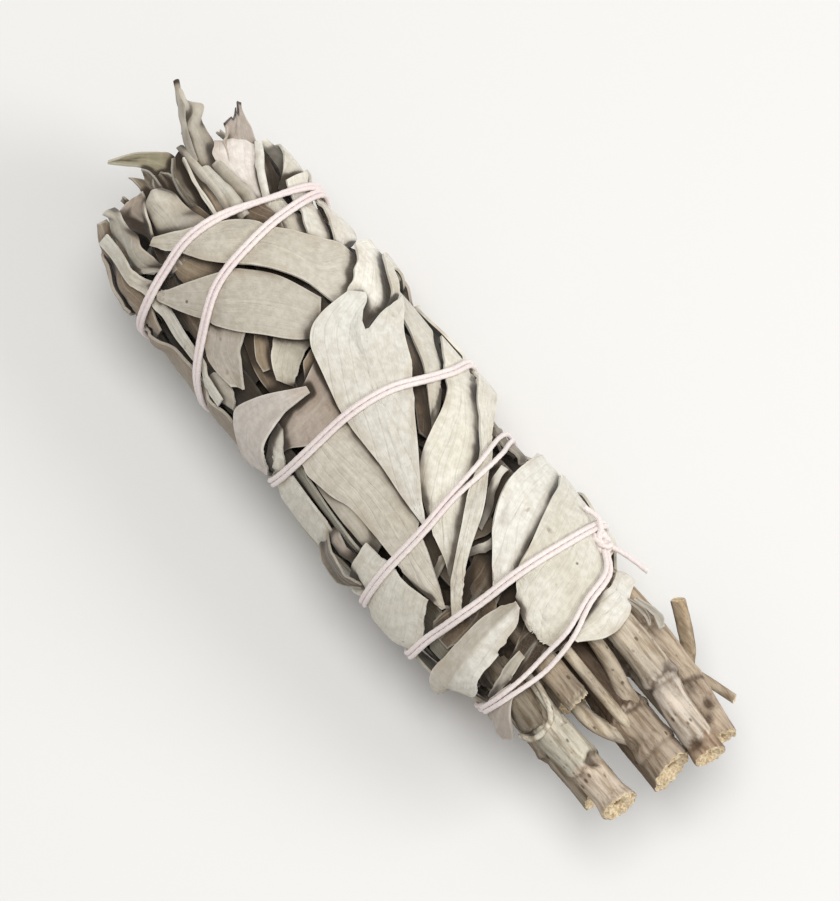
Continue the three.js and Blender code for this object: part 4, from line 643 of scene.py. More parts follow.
# Leaf tips that stand out of the end: rise is the radius at even steps from foot to tip, and cup
# how far the margins bend outward
TIP_LEAVES = [
    {"rise": (9.8, 10, 10.4, 10.6), "cup": 0.6, "tint": "dark",
     "left": [(-38, 0), (-43, 6), (-47, 12), (-50, 14)],
     "right": [(-38, -6), (-44, -6), (-47, -4), (-49.8, 6)]},
    {"rise": (8.6, 9, 8.8, 8.6), "cup": 0.7, "tint": "green", "shade": 1.35,
     "left": [(-43, 14), (-50, 12), (-52, 4), (-54, -10), (-56, -34)],
     "right": [(-43, -4), (-48, -8), (-51, -13), (-53.7, -26), (-55.7, -37)]},
    {"rise": (11.8, 12.2, 12.8, 13.4, 14.4), "cup": -0.15, "tint": "cream", "jag": 0.7,
     "ripple": 1.3, "browned": 0.25, "shade": 0.85,
     "left": [(-43, 14), (-47.5, 17), (-50.2, 18), (-51.8, 22), (-53.5, 25), (-56.6, 31)],
     "right": [(-43, 24), (-46.5, 30), (-49.3, 36.5), (-51.7, 37), (-53.2, 40), (-54.8, 34),
               (-56.6, 32.5)]},
    {"rise": (12.9, 13.5, 14.2, 14.8), "cup": -0.3, "tint": "dark", "browned": 1.2, "shade": 0.9,
     "left": [(-47, 13), (-49.8, 16.6), (-52, 20.6), (-54.6, 26.6), (-57.8, 33.4)],
     "right": [(-47, 15), (-49.7, 18.4), (-51.9, 22.4), (-54.4, 28.4), (-57.7, 34.6)]},
    {"rise": (13, 13.6, 14.2, 14.8), "cup": 0.4, "tint": "pink", "jag": 0.5, "browned": 1.3,
     "end": [(0, 0.55), (0.16, 0.7), (0.24, 0.6), (0.4, 0.86), (0.52, 0.72), (0.7, 1), (1, 0.94)],
     "left": [(-41, 26), (-46, 32), (-48.6, 38), (-50.4, 50), (-52.8, 66)],
     "right": [(-41, 46), (-44, 54), (-47.2, 62), (-50, 65), (-52.6, 73)]},
    {"rise": (13.3, 13.6, 13.8, 14), "cup": -0.35, "tint": "shell", "jag": 0.25,
     "end": [(0, 1), (0.2, 0.95), (0.35, 1), (0.5, 0.97), (0.7, 1), (0.85, 0.96), (1, 1)],
     "left": [(-37.4, 23), (-42, 22.5), (-45.2, 23), (-46.6, 25), (-47.8, 31)],
     "right": [(-36, 29), (-41.4, 41), (-43.2, 48), (-45.4, 56)]},
    {"rise": (13.7, 14, 14.2, 14.4), "cup": -0.5, "tint": "white",
     "left": [(-36, 29), (-41, 40.5), (-43, 47.5), (-45.5, 56.5)],
     "right": [(-35.6, 31.5), (-40.4, 43), (-42.4, 50), (-44.9, 59.5)]},
    {"rise": (12.9, 13.2, 13.1, 12.4), "cup": -0.7, "tint": "cream",
     "left": [(-37, 9), (-42, 11), (-45, 11), (-50.3, 13)],
     "right": [(-37, 14), (-41.5, 14), (-45, 14), (-49.7, 15)]},
    {"rise": (12.2, 12.5, 12.3, 11.8), "cup": 0.4, "tint": "tan",
     "left": [(-37, -1), (-41, 2.5), (-45, 6), (-49.8, 12)],
     "right": [(-37, 8), (-41, 10), (-45, 12), (-49, 14)]},
    {"rise": (13, 13.1, 12.9, 12.4), "cup": 1, "tint": "cream",
     "left": [(-37, 0), (-40, 1.5), (-44, 3.5), (-48, 9)],
     "right": [(-37, 3), (-40, 4), (-44, 6), (-48.3, 10.5)]},
    {"rise": (13.6, 13.5, 13.2, 12.9), "cup": -1.2, "tint": "pale", "shade": 0.8,
     "left": [(-36.5, 11), (-40, 12), (-43.5, 12), (-46, 13)],
     "right": [(-36.5, 19), (-39.5, 20.5), (-42.5, 20.5), (-45, 19.5)]},
    {"rise": (14, 13.9, 13.7, 13.3), "cup": -1.4, "tint": "cream", "shade": 0.8,
     "left": [(-36.5, 21), (-39, 21), (-42, 21), (-45.4, 21.5)],
     "right": [(-36, 29), (-39, 28.5), (-42, 27), (-44.9, 26)]},
    {"rise": (12.4, 12.6, 12.8, 13), "cup": 0.7, "tint": "brown", "spots": 0.8,
     "left": [(-36, 32), (-39.5, 39), (-42, 49), (-44.8, 60)],
     "right": [(-36, 50), (-38.6, 55), (-41, 60), (-44.6, 67)]},
    {"rise": (14.8, 14.8, 14.6, 14.4), "cup": -1, "tint": "pale", "jag": 0.3,
     "left": [(-35, 50), (-38, 53), (-40.6, 58), (-43.4, 63.5), (-45.6, 65)],
     "right": [(-34.6, 62), (-37.6, 67), (-41, 72), (-43.6, 72), (-45.8, 68)]},
    {"rise": (13.4, 13.3, 12.9, 12.4), "cup": -0.9, "tint": "cream", "spots": 0.8,
     "ripple": 1.3, "jag": 0.3, "shade": 0.93,
     "left": [(-37, -4), (-40, -5), (-42.5, -8), (-45, -8.5), (-47, -13)],
     "right": [(-37, -31), (-41, -32), (-43.6, -30), (-46, -27.5), (-47.3, -19)]},
    {"rise": (13, 12.8, 12.5, 12), "cup": 0.9, "tint": "pink", "jag": 0.3, "spots": 0.6,
     "ripple": 1.3,
     "left": [(-37, -30), (-42, -32), (-44.4, -29), (-46.7, -25), (-48.3, -22)],
     "right": [(-37, -44), (-42.7, -38), (-45.4, -42), (-47.8, -46.5), (-48.8, -34)]},
    {"rise": (15.2, 15, 14.7, 14.2), "cup": -0.7, "tint": "cream", "waver": 0.6, "jag": 0.4,
     "shade": 0.66, "spots": 0.8, "ripple": 1.6,
     "left": [(-37, -40), (-39.6, -38), (-42.5, -38), (-45.1, -39), (-47.6, -39), (-49.3, -43)],
     "right": [(-39.6, -47), (-41.4, -55), (-43.4, -54), (-46.5, -50), (-48.4, -46), (-49.5, -45)]},
    {"rise": (15.5, 15.4, 15, 14.4), "cup": -0.7, "tint": "earth", "jag": 0.7, "spots": 1.2,
     "ripple": 1.3,
     "left": [(-33, -66), (-36.8, -61), (-40.2, -58), (-43.6, -55), (-46.6, -53), (-49, -49)],
     "right": [(-33, -80), (-36, -78), (-39.1, -76), (-42.3, -72), (-45.6, -65), (-49.3, -54)]},
    {"rise": (11.2, 11, 10.8, 11.4), "cup": 0.5, "tint": "dark", "jag": 0.5,
     "ragged": 0.3, "shade": 0.7,
     "left": [(-42, -44), (-47, -41), (-49.6, -40), (-51.6, -41)],
     "right": [(-42, -32), (-47, -33), (-49.6, -35), (-51.8, -38)]},
    {"rise": (9.8, 10.2, 10.6, 11), "cup": 0.8, "tint": "dark", "jag": 0.5,
     "ragged": 0.4, "shade": 0.6,
     "left": [(-43, -30), (-47, -28), (-50, -24), (-51.8, -26)],
     "right": [(-43, -14), (-47, -12), (-50, -12), (-51.6, -16)]},
    {"rise": (9.6, 9.8, 10.2, 10.4), "cup": 0.8, "tint": "dark", "jag": 0.5,
     "ragged": 0.4, "shade": 0.6,
     "left": [(-43, -22), (-47, -18), (-49.5, -13), (-50.6, -8)],
     "right": [(-43, 0), (-46, 0), (-48, -1), (-49.4, -4)]},
]

# Crumpled bits laid last: two beside the stems and two at the lower edge
LOOSE_BITS = [
    {"rise": (13, 13.6, 14, 14), "cup": 0.4, "tint": "brown", "jag": 0.2,
     "left": [(34, 50), (36, 49), (37.5, 47.5), (38.8, 46)],
     "right": [(34.2, 55), (36, 56), (37.4, 54), (38.7, 49)]},
    {"rise": (13, 13.8, 14.2, 14.2), "cup": 0.5, "tint": "grey", "browned": 0.4,
     "left": [(34.6, 59), (36.8, 57), (38.2, 54), (39.8, 50)],
     "right": [(34.8, 66), (37, 65), (38.6, 63), (40, 56)]},
    {"rise": (14.6, 16, 16.2, 15.6), "cup": 0.7, "tint": "earth", "jag": 0.3, "spots": 1,
     "shade": 0.42,
     "left": [(2.6, -66), (4.4, -66), (6.6, -67), (8.8, -69), (10.6, -72)],
     "right": [(2.4, -84), (4, -83), (6.4, -84), (8.6, -82), (10.8, -77)]},
    {"rise": (14, 15.2, 15.4, 14.6), "cup": -0.6, "tint": "mottled", "jag": 0.2, "browned": 0.6,
     "left": [(2.8, -61), (4.2, -60), (6, -61.5), (7.8, -64)],
     "right": [(2.6, -68), (4, -69), (6, -69), (7.9, -67.5)]},
]

# The stems: points are x, across and up from the bundle's axis; knuckles are x places of swollen
# nodes, steps are (x, drop, raggedness) of the lips where a sheath ends, notches are (x, degrees,
# depth, spread in degrees), bands are colours up to an x
STEMS = [
    {"name": "stem_front", "radius": 2.6, "flare": 0.16, "slant": 0.45,
     "steps": ((47.0, 0.13, 0.9),), "notches": ((47.4, 330, 1.2, 24),),
     "bands": ((40, (0.30, 0.26, 0.21)), (47, (0.58, 0.55, 0.46)), (60, (0.70, 0.60, 0.49))),
     "path": [(18, -5.4, 3), (32, -7.2, 4.2), (40.5, -7.55, 4.6), (47, -7.1, 4.4),
              (53.9, -6.9, 4.2)]},
    {"name": "stem_top_left", "radius": 2.55, "knuckles": (45.4, 51), "flare": 0.05,
     "steps": ((45.2, -0.1, 0.7),), "notches": ((49.4, 60, 0.5, 22),),
     "bands": ((45, (0.14, 0.10, 0.07)), (60, (0.46, 0.38, 0.295))),
     "path": [(18, 0.9, 2.6), (34, 1.4, 4), (44, 1.5, 5.2), (54.6, 1.2, 5.8)]},
    {"name": "stem_top_right", "radius": 2.45, "knuckles": (44.6,), "flare": 0.08,
     "steps": ((44.9, 0.1, 0.9),), "notches": ((44.2, 320, 0.7, 26), (54.4, 30, 0.8, 34)),
     "bands": ((44, (0.60, 0.53, 0.43)), (54, (0.585, 0.525, 0.455)), (60, (0.40, 0.30, 0.22))),
     "path": [(18, 5.6, 5), (32, 7.4, 6.8), (44, 7.45, 7.2), (49, 6.6, 7), (56.4, 5.9, 6.6)]},
    {"name": "stem_side", "radius": 2.2, "knuckles": (37.6, 46.4), "flare": 0.03,
     "steps": ((37.8, 0.07, 0.4), (47, -0.06, 0.5)),
     "notches": ((47.8, 20, 0.5, 24), (50.8, 340, 0.9, 30), (52.4, 20, 0.6, 26)),
     "bands": ((38, (0.52, 0.43, 0.34)), (47, (0.55, 0.455, 0.35)), (60, (0.50, 0.41, 0.32))),
     "path": [(18, 8.4, 0.6), (32, 11.2, 1.8), (44, 11, 2.6), (55.3, 9.3, 2.6)]},
    {"name": "stem_stub", "radius": 1.8, "flare": 0.04, "slant": -0.1,
     "steps": ((39.9, 0.03, 0.1),), "bands": ((40, (0.33, 0.275, 0.21)), (60, (0.66, 0.60, 0.48))),
     "path": [(25, -2.8, 7.4), (32, -3, 8.2), (40.6, -3, 8.2)]},
    {"name": "stem_centre", "radius": 2.2, "knuckles": (44,), "flare": 0.03,
     "bands": ((60, (0.27, 0.205, 0.145)),),
     "path": [(18, 1.5, -2.8), (34, 2.2, -1.6), (44, 0.9, 0.2), (54.8, 0.6, 0.8)]},
    {"name": "stem_under_left", "radius": 2.5, "knuckles": (42,), "flare": 0.05,
     "steps": ((42.2, 0.08, 0.5),), "bands": ((60, (0.42, 0.36, 0.28)),),
     "path": [(18, -5, -3.4), (34, -7.4, -2.8), (50.5, -7.4, -2.2)]},
    {"name": "stem_under_middle", "radius": 2.4, "knuckles": (34,), "flare": 0.03,
     "bands": ((60, (0.38, 0.31, 0.23)),),
     "path": [(18, -0.8, -7.6), (30, -1, -7.6), (38.5, -1, -7)]},
    {"name": "stem_under_right", "radius": 2.4, "knuckles": (40,), "flare": 0.05,
     "steps": ((40.3, 0.07, 0.5),), "bands": ((60, (0.43, 0.37, 0.29)),),
     "path": [(18, 6.2, -5.6), (34, 8.4, -5.2), (51, 8.4, -4)]},
]
BRANCHES = {
    "stem_front": [
        {"radius": 2.1, "bands": ((60, (0.22, 0.19, 0.145)),), "flare": -0.25, "blunt": True,
         "path": [(30, -7.2, 5.2), (36, -8.4, 6), (40.2, -9.2, 5.4)]},
        {"radius": 0.7, "bands": ((60, (0.66, 0.62, 0.53)),), "flare": 0.9, "blunt": True,
         "path": [(31, -5.6, 6.7), (37.8, -6, 7), (41.8, -6.4, 6.2)]},
        {"radius": 0.42, "bands": ((60, (0.66, 0.62, 0.53)),), "blunt": True,
         "path": [(35, -5.5, 8.1), (37, -5.8, 8.1), (38.8, -6.3, 7.9), (40.2, -7.2, 7.4),
                  (40.8, -9.2, 6.7), (40.4, -10.5, 5.9), (38.8, -11.2, 4.9)]},
    ],
    "stem_side": [
        {"radius": 1.05, "bands": ((37.4, (0.17, 0.11, 0.07)), (60, (0.42, 0.335, 0.235))),
         "path": [(45.4, 11.8, 0.6), (43.4, 13.9, 0.2), (40.5, 15.6, 0.3), (37.6, 17, 0.6)]},
        {"radius": 0.65, "bands": ((60, (0.50, 0.42, 0.32)),),
         "path": [(43, 11.2, 1), (47.5, 13, -0.2), (52.2, 14.6, -1)]},
    ],
    "stem_top_left": [
        {"radius": 0.8, "bands": ((60, (0.50, 0.44, 0.35)),),
         "path": [(49.4, 1.2, 6.2), (46, 0.2, 7.4), (42, 0, 7.9), (33.5, 0, 8.4)]},
        {"radius": 1.5, "taper": 0.42, "bands": ((60, (0.47, 0.40, 0.31)),), "blunt": True,
         "path": [(46.4, 2.3, 6), (43.2, 2.6, 6.9), (39, 3.5, 7.6), (33.5, 3.9, 8.4)]},
        {"radius": 1.15, "bands": ((60, (0.54, 0.48, 0.39)),), "blunt": True,
         "path": [(48.6, 0, 5), (45.6, -2, 5.2), (43, -2.9, 5), (39.5, -2.9, 4.4)]},
    ],
}

# The string's route over the bundle, (x, phi) from the knot to the hitch, nearly six turns
STRING_ROUTE = [
    (27.6, 55), (30, 46), (32, 22), (33.8, 5), (34.4, -12), (34.6, -30), (34.2, -50),
    (33.2, -75), (32.4, -100), (27.4, -180), (24, -255), (24.2, -300), (24.2, -330),
    (23.7, -360), (23.4, -380), (22.8, -400), (22, -420), (21, -450), (12.6, -540),
    (7.2, -620), (7.2, -650), (8.6, -678), (10, -700), (10.8, -720), (11.7, -740), (12, -765),
    (12, -805), (9.8, -850), (5.9, -900), (-0.6, -955), (-4, -995), (-3.5, -1030),
    (-4.2, -1050), (-5.5, -1070), (-6.2, -1090), (-6.4, -1120), (-6.9, -1140), (-8, -1160),
    (-10, -1185), (-22, -1260), (-32, -1325), (-34.4, -1355), (-34.3, -1385), (-33.7, -1410),
    (-32.5, -1435), (-31, -1460), (-28, -1482), (-25.4, -1505), (-23.2, -1530), (-23.6, -1570),
    (-28.7, -1620), (-33.4, -1678), (-35.3, -1710), (-35.5, -1740), (-36.5, -1765),
    (-38.3, -1800), (-38.5, -1820), (-37.5, -1840), (-36.2, -1865), (-35.6, -1895),
    (-36.4, -1940), (-36.2, -1985), (-34.6, -2026),
]
# Where the two strands part: route angle, half distance between them in millimetres, spread
STRAND_PARTINGS = [(-15, 0.75, 22), (-665, 0.75, 28), (-690, 0.55, 20), (-1770, 0.1, 20)]
STRING_STEP = 0.4
# Places of the knot and the hitch, (x, phi), and half the width of their loops
KNOTS = (((26.3, 57), 1.0), ((-33.6, -1675), 0.9))
# The tails, (x, phi, height over the string)
TAILS = [
    [(26.5, 58, 0.6), (29.5, 62, 1.4), (33, 64, 2.2)],
    [(26, 56, 0.6), (23.8, 60, 1.3), (21.4, 59, 1)],
]


def ruled_inner_leaves():
    """More inner leaves, round the bundle by a rule."""
    rng = np.random.default_rng(RULED_INNER_SEED)
    leaves = []
    for ring, x in enumerate((-38, -28, -18, -8, 2, 12, 22)):
        for k in range(7):
            phi = (k + 0.5 * (ring % 2)) * 360 / 7 + rng.uniform(-12, 12)
            turn = rng.uniform(-14, 14)
            half = rng.uniform(7, 11)
            wide = rng.uniform(10, 17)
            foot = max(x - half, CORE_TIP_X + 3)
            end = min(x + half, CORE_STEM_X - 1)
            leaves.append({
                "level": rng.uniform(0.2, 1.2),
                # Darker in part as painted shade, for leaves deep in the bundle
                "shade": 0.75,
                "tint": ("tan", "grey", "cream", "brown", "green")[(ring * 3 + k) % 5],
                "left": [(foot, phi - turn - 0.7 * wide), (x, phi - wide), (end, phi + turn - 3)],
                "right": [(foot, phi - turn + 0.7 * wide), (x, phi + wide), (end, phi + turn + 3)],
            })
    return leaves


def ruled_tip_leaves():
    """Tips round the hidden side of the end, and crumpled ones inside it, by a rule."""
    rng = np.random.default_rng(RULED_TIP_SEED)
    leaves = []
    for k in range(9):
        phi = 78 + k * 22
        lean = rng.uniform(-8, 8)
        reach = -49 - rng.uniform(0, 6)
        leaves.append({
            "rise": (11.4, rng.uniform(9.6, 12)),
            "cup": 0.8,
            "ragged": 0.12,
            "tint": ("grey", "cream", "green", "tan")[k % 4],
            "left": [(-39, phi - 15), (-45, phi - 14), (reach, phi - 3 + lean)],
            "right": [(-39, phi + 15), (-45, phi + 13), (reach, phi + 3 + lean)],
        })
    for k in range(16):
        phi = k * 137.5
        radius = 3.5 + 6 * (k / 16)
        reach = -48 - rng.uniform(0, 4.5)
        leaves.append({
            "rise": (radius, radius + rng.uniform(-0.5, 1.5)),
            "cup": 0.9,
            "ragged": 0.25,
            "tint": ("brown", "tan", "grey", "cream")[k % 4],
            "left": [(-43, phi - 26), (-47, phi - 24), (reach, phi - 8)],
            "right": [(-43, phi + 26), (-47, phi + 24), (reach, phi + 8)],
        })
    return leaves


def hidden_wrapping_leaves():
    """The leaves of the hidden side, each drawn round its middle by the same rule."""
    leaves = []
    for i, (x, phi, half, wide, turn) in enumerate(HIDDEN_LEAVES):
        foot, end = x - half, x + half
        leaves.append({
            "name": f"leaf_under_{i + 1}",
            "level": 1.8 + 0.4 * (i % 2),
            "tint": HIDDEN_TINTS[i % len(HIDDEN_TINTS)],
            "left": [(foot - 1, phi - turn - 3), (foot + 0.25 * half, phi - turn - wide * 0.72),
                     (x, phi - wide), (end - 0.3 * half, phi + 0.6 * turn - wide * 0.62),
                     (end, phi + turn - 1.5)],
            "right": [(foot - 1, phi - turn + 3), (foot + 0.25 * half, phi - turn + wide * 0.66),
                      (x, phi + wide), (end - 0.3 * half, phi + 0.6 * turn + wide * 0.62),
                      (end, phi + turn + 1.5)],
        })
    return leaves


class Layout:
    """The whole bundle: every leaf laid in order, the string's path and how far it bites in."""

    ROUTE_SAMPLES = 12000
    # Least height of the string's line over the stems and over the floor
    OVER_STEMS = 0.4
    OVER_FLOOR = 0.9
    # How far beside the string it holds the leaves down, and how steeply they rise from it
    STRING_REACH = 5.0
    STRING_SLOPE = (0.42, 0.05)
    # The radius down to which the string presses the leaves
    PRESSED_FROM = 8.0
    # Painted shadow on a leaf at one to four cells from the edge of a leaf over it: its darkness at
    # each
    PAINTED_SHADOW_STEPS = (1.0, 0.66, 0.36, 0.15)

    def __init__(self, settings):
        self.settings = settings
        self.relief = Relief()
        self.stems = {}
        for k, stem in enumerate(STEMS):
            tubes = [stem_tube(stem, k)]
            branches = BRANCHES.get(stem["name"], ())
            tubes += [stem_tube(branch, BRANCH_SEED + k) for branch in branches]
            self.stems[stem["name"]] = tubes
            for tube in tubes:
                x, phi, r = to_bundle(tube.points)
                self.relief.stamp(x, phi, r, hard=True)
        cell, thin, thick = settings.cell, settings.inner_thickness, settings.leaf_thickness
        inner = ruled_inner_leaves() + SHOWN_INNER_LEAVES
        tips = TIP_LEAVES + ruled_tip_leaves()
        wrapping = WRAPPING_LEAVES + hidden_wrapping_leaves() + REST_LEAVES
        self.inner = self.laid(inner, INNER_SEED, cell * 1.5, thin, rooted=True)
        self.inner += self.laid(tips, TIP_SEED, cell, thin)
        self.wrapping = self.laid(wrapping, WRAPPING_SEED, cell, thick)
        self.inner += self.laid(LOOSE_BITS, LOOSE_SEED, cell, thin)
        self.route = self.string_route()
        self.limit = self.string_limit()
        self.roofs = self.coverings()

    def laid(self, leaves, seed, cell, thickness, rooted=False):
        """Leaves laid one after another over what is already there."""
        sheets = []
        for k, leaf in enumerate(leaves):
            sheet = Sheet(leaf, cell, seed + k)
            sheet.lay(self.relief, thickness, self.settings.leaf_gap, rooted)
            sheets.append(sheet)
        return sheets

    def string_route(self):
        """Even samples of the string's middle line, lying taut on the leaves."""
        dense = smooth_line(STRING_ROUTE, np.linspace(0, 1, self.ROUTE_SAMPLES))
        steps = np.hypot(np.diff(dense[:, 0]), np.diff(dense[:, 1]) * MM_PER_DEGREE)
        travelled = np.concatenate([[0], np.cumsum(steps)])
        count = int(travelled[-1] / STRING_STEP)
        even = np.linspace(0, travelled[-1], count + 1)
        x = np.interp(even, travelled, dense[:, 0])
        phi = np.interp(even, travelled, dense[:, 1])
        top = self.relief.near(x, phi)
        width = int(self.settings.string_stiffness / STRING_STEP)
        kernel = np.exp(-0.5 * (np.arange(-3 * width, 3 * width + 1) / width) ** 2)
        kernel /= kernel.sum()
        padded = np.pad(top, 3 * width, mode="edge")
        taut = np.convolve(padded, kernel, mode="valid") - self.settings.string_bite
        stop = self.relief.near(x, phi, self.relief.hard) + self.OVER_STEMS
        floor = floor_radius(AXIS_HEIGHT - self.OVER_FLOOR, phi)
        return np.stack([x, phi, np.minimum(np.maximum(taut, stop), floor)], -1)

    def string_limit(self):
        """The greatest radius that the string leaves free at each cell of the bundle."""
        relief = self.relief
        limit = np.full_like(relief.top, FAR)
        columns, turns = (
            np.arange(-int(self.STRING_REACH / size), int(self.STRING_REACH / size) + 1)
            for size in (relief.CELL, MM_PER_DEGREE)
        )
        slope, bend = self.STRING_SLOPE
        for x, phi, r in self.route[::2]:
            column, turn = relief.cells(np.array(x), np.array(phi))
            i = np.clip(column + columns, 0, relief.COLUMNS - 1)
            j = (turn + turns) % relief.TURNS
            away = np.hypot(
                (relief.START + relief.CELL * i - x)[:, None],
                turns[None, :] * MM_PER_DEGREE,
            )
            beyond = np.maximum(away - self.settings.strand_diameter * 1.15, 0)
            free = r + slope * beyond + bend * beyond**2
            cells = np.ix_(i, j)
            limit[cells] = np.minimum(limit[cells], free)
        return limit

    def coverings(self):
        """The relief spread sideways by one cell after another, for the painted shadows at leaf
        edges.
        """
        roofs, roof = [], self.relief.top
        for _ in self.PAINTED_SHADOW_STEPS:
            roof = np.maximum(np.maximum(roof, np.roll(roof, 1, 1)), np.roll(roof, -1, 1))
            higher = np.maximum(roof[1:], roof[:-1])
            roof[1:] = np.maximum(roof[1:], higher)
            roof[:-1] = np.maximum(roof[:-1], higher)
            roofs.append(roof)
        return roofs

    def sheltered(self, sheet, thickness):
        """How much painted shadow each point of a leaf gets from the edge of one over it, or under
        it: 0 to 1.
        """
        column, turn = self.relief.cells(sheet.x, sheet.phi)
        share = np.zeros_like(sheet.r)
        for roof, weight in zip(self.roofs, self.PAINTED_SHADOW_STEPS):
            above = roof[column, turn] - sheet.r - thickness * OUTER_FACE
            share = np.maximum(share, weight * np.clip((above - 0.2) / 0.4, 0, 1))
        return blur(share, 2)

    def pressed(self, x, phi, r):
        """Radii after the string has pulled the stack of leaves down under itself."""
        column, turn = self.relief.cells(x, phi)
        top = self.relief.near(x, phi)
        limit = self.limit[column, turn]
        base = np.maximum(self.PRESSED_FROM, self.relief.near(x, phi, self.relief.hard))
        base = np.minimum(base, np.minimum(top, limit) - 0.35)
        share = np.clip((limit - base) / np.maximum(top - base, 0.3), 0.05, 1)
        low = base + (r - base) * share
        return np.where((r > base) & (top > limit), low, r)


class Tube:
    """A round piece along a line: a grid of points in millimetres, rings by sides."""

    def __init__(self, points, cut=None, tint=None, groove=None):
        self.points = points
        self.cut = np.zeros(points.shape[:2]) if cut is None else cut
        self.tint = tint
        self.groove = groove


def frames_along(line, up):
    """Side and outward directions at each point of a line."""
    tangent = np.gradient(line, axis=0)
    tangent /= np.linalg.norm(tangent, axis=1, keepdims=True)
    up = up - (up * tangent).sum(1, keepdims=True) * tangent
    up /= np.linalg.norm(up, axis=1, keepdims=True)
    return tangent, np.cross(tangent, up), up


def skin(line, side, out, theta, size):
    """Rings of points round a line, at a size for each of them."""
    return line[:, None, :] + size[..., None] * (
        np.sin(theta)[None, :, None] * side[:, None, :]
        + np.cos(theta)[None, :, None] * out[:, None, :]
    )


def stem_relief(stem, x, theta, rng):
    """How far a stem's nodes, sheath lips and notches swell it, and the dark lines at them: their
    own brown and painted shade in the dips under the lips and in the notches.
    """
    swell = np.zeros((len(x), len(theta)))
    groove = np.zeros_like(swell)
    for at in stem.get("knuckles", ()):
        ring_at = at + 0.35 * np.sin(theta + rng.uniform(0, 6))
        swell += 0.085 * np.exp(-(((x - ring_at) / 0.9) ** 2))
        swell -= 0.05 * np.exp(-(((x - ring_at - 1.0) / 0.35) ** 2))
        groove += 0.5 * np.exp(-(((x - ring_at - 0.9) / 0.3) ** 2))
    for at, drop, ragged in stem.get("steps", ()):
        lip = at + ragged * np.sin(theta * 2 + rng.uniform(0, 6)) * 0.6
        lip = lip + ragged * rng.uniform(-0.3, 0.3, len(theta))
        swell -= drop * np.clip((x - lip) / 0.3, 0, 1)
        swell += 0.04 * np.exp(-(((x - lip + 0.4) / 0.4) ** 2))
        groove += 0.75 * np.exp(-(((x - lip - 0.25) / 0.28) ** 2))
    for at, angle, depth, spread in stem.get("notches", ()):
        turn = (np.degrees(theta) - angle + 180) % 360 - 180
        dent = np.exp(-((turn / spread) ** 2)) * np.exp(-(((x - at) / 0.8) ** 2))
        swell -= depth * 0.5 * dent
        groove += 1.4 * depth * dent
    return swell, np.clip(groove, 0, 1)


# A cut end, from its rim in: share of the radius, depth in radii, and 1 for wood or 2 for pith
CUT_PROFILE = (
    (0.92, -0.06, 1), (0.8, 0.04, 1), (0.66, -0.05, 1), (0.5, 0.06, 1),
    (0.34, 0.10, 1), (0.26, 0.42, 2), (0.12, 0.5, 2), (0.0, 0.52, 2),
)


def cut_end(middle, rim, tangent, radius, blunt, rng):
    """Rings that close a stem's end, and how much each is wood or pith."""
    sides = len(rim)
    rings, cuts = [], []
    for share, depth, cut in CUT_PROFILE:
        dent = (depth + rng.uniform(-0.07, 0.07, sides) * (share > 0.1)) * radius
        dent = dent * (0.1 if blunt else 1)
        rings.append(middle + (rim - middle) * share - dent[:, None] * tangent)
        cuts.append(np.full(sides, 0.0 if blunt else float(cut)))
    return np.array(rings), np.array(cuts)


def stem_tube(stem, seed):
    """A stem with its ribs, nodes and sheath lips, and a rough cut end with a hollow of pith."""
    rng = np.random.default_rng(STEM_SEED + seed)
    radius, blunt = stem["radius"], stem.get("blunt", False)
    path = np.array(stem["path"], float) + np.array([0, AXIS_SIDE, AXIS_HEIGHT])
    length = np.linalg.norm(np.diff(path, axis=0), axis=1).sum()
    rings = int(np.clip(length / 0.3, 30, 130))
    sides = 40 if radius > 1.2 else 20
    t = np.linspace(0, 1, rings + 1)
    line = smooth_line(path, t)
    tangent, side, up = frames_along(line, np.tile([0.0, 0.0, 1.0], (rings + 1, 1)))
    theta = np.linspace(0, 2 * np.pi, sides, endpoint=False)
    swell, groove = stem_relief(stem, line[:, :1], theta, rng)
    ribs = 0
    for height, count in ((0.022, 4), (0.010, 11), (0.010, 17)):
        ribs = ribs + height * np.cos(count * theta + rng.uniform(0, 6))
    uneven = 0.02 * wander(rings + 1, 9, rng)[:, None]
    end = np.clip((t - 0.93) / 0.07, 0, 1)[:, None]
    size = 0.97 + swell + ribs + uneven + stem.get("flare", 0.0) * end
    size = size * (1 - stem.get("taper", 0) * t[:, None])
    if blunt:
        close = np.clip((1 - t) * length / (radius * 0.9), 0, 1)
        size = size * np.sqrt(1 - (1 - close[:, None]) ** 2)
    size = size * radius + rng.normal(0, 0.005, (rings + 1, sides)) * radius
    points = skin(line, side, up, theta, size)
    slant = 0.12 * np.cos(theta + rng.uniform(0, 6)) - stem.get("slant", 0.3) * np.cos(theta)
    tear = rng.uniform(-0.07, 0.07, sides) * radius * (0 if blunt else 1)
    points += (end * (slant * radius + tear)[None, :])[..., None] * tangent[:, None, :]
    caps, cuts = cut_end(line[-1], points[-1], tangent[-1], radius, blunt, rng)
    points = np.concatenate([points, caps])
    cut = np.concatenate([np.zeros((rings + 1, sides)), cuts])
    groove = np.concatenate([groove, np.zeros(cuts.shape)])
    ends = np.array([band[0] for band in stem["bands"]])
    tints = np.array([band[1] for band in stem["bands"]])
    reach = points[..., 0] + rng.uniform(-0.4, 0.4, sides)[None, :]
    which = np.clip(np.searchsorted(ends, reach), 0, len(ends) - 1)
    return Tube(points, cut, tints[which], groove)


STRAND_SIDES = 10


def twisted_strand(line, side, out, radius, travelled, pitch, turn=0, fray=1):
    """A two-ply strand along a line, its ends drawn together."""
    theta = np.linspace(0, 2 * np.pi, STRAND_SIDES, endpoint=False)
    twist = travelled / pitch * 2 * np.pi
    lobes = 1 + 0.13 * np.abs(np.cos(theta[None, :] - twist[:, None] + turn)) - 0.08
    points = skin(line, side, out, theta, radius * lobes * fray)
    first, last = (np.repeat(line[k][None, None, :], STRAND_SIDES, 1) for k in (0, -1))
    return Tube(np.concatenate([first, points, last]))


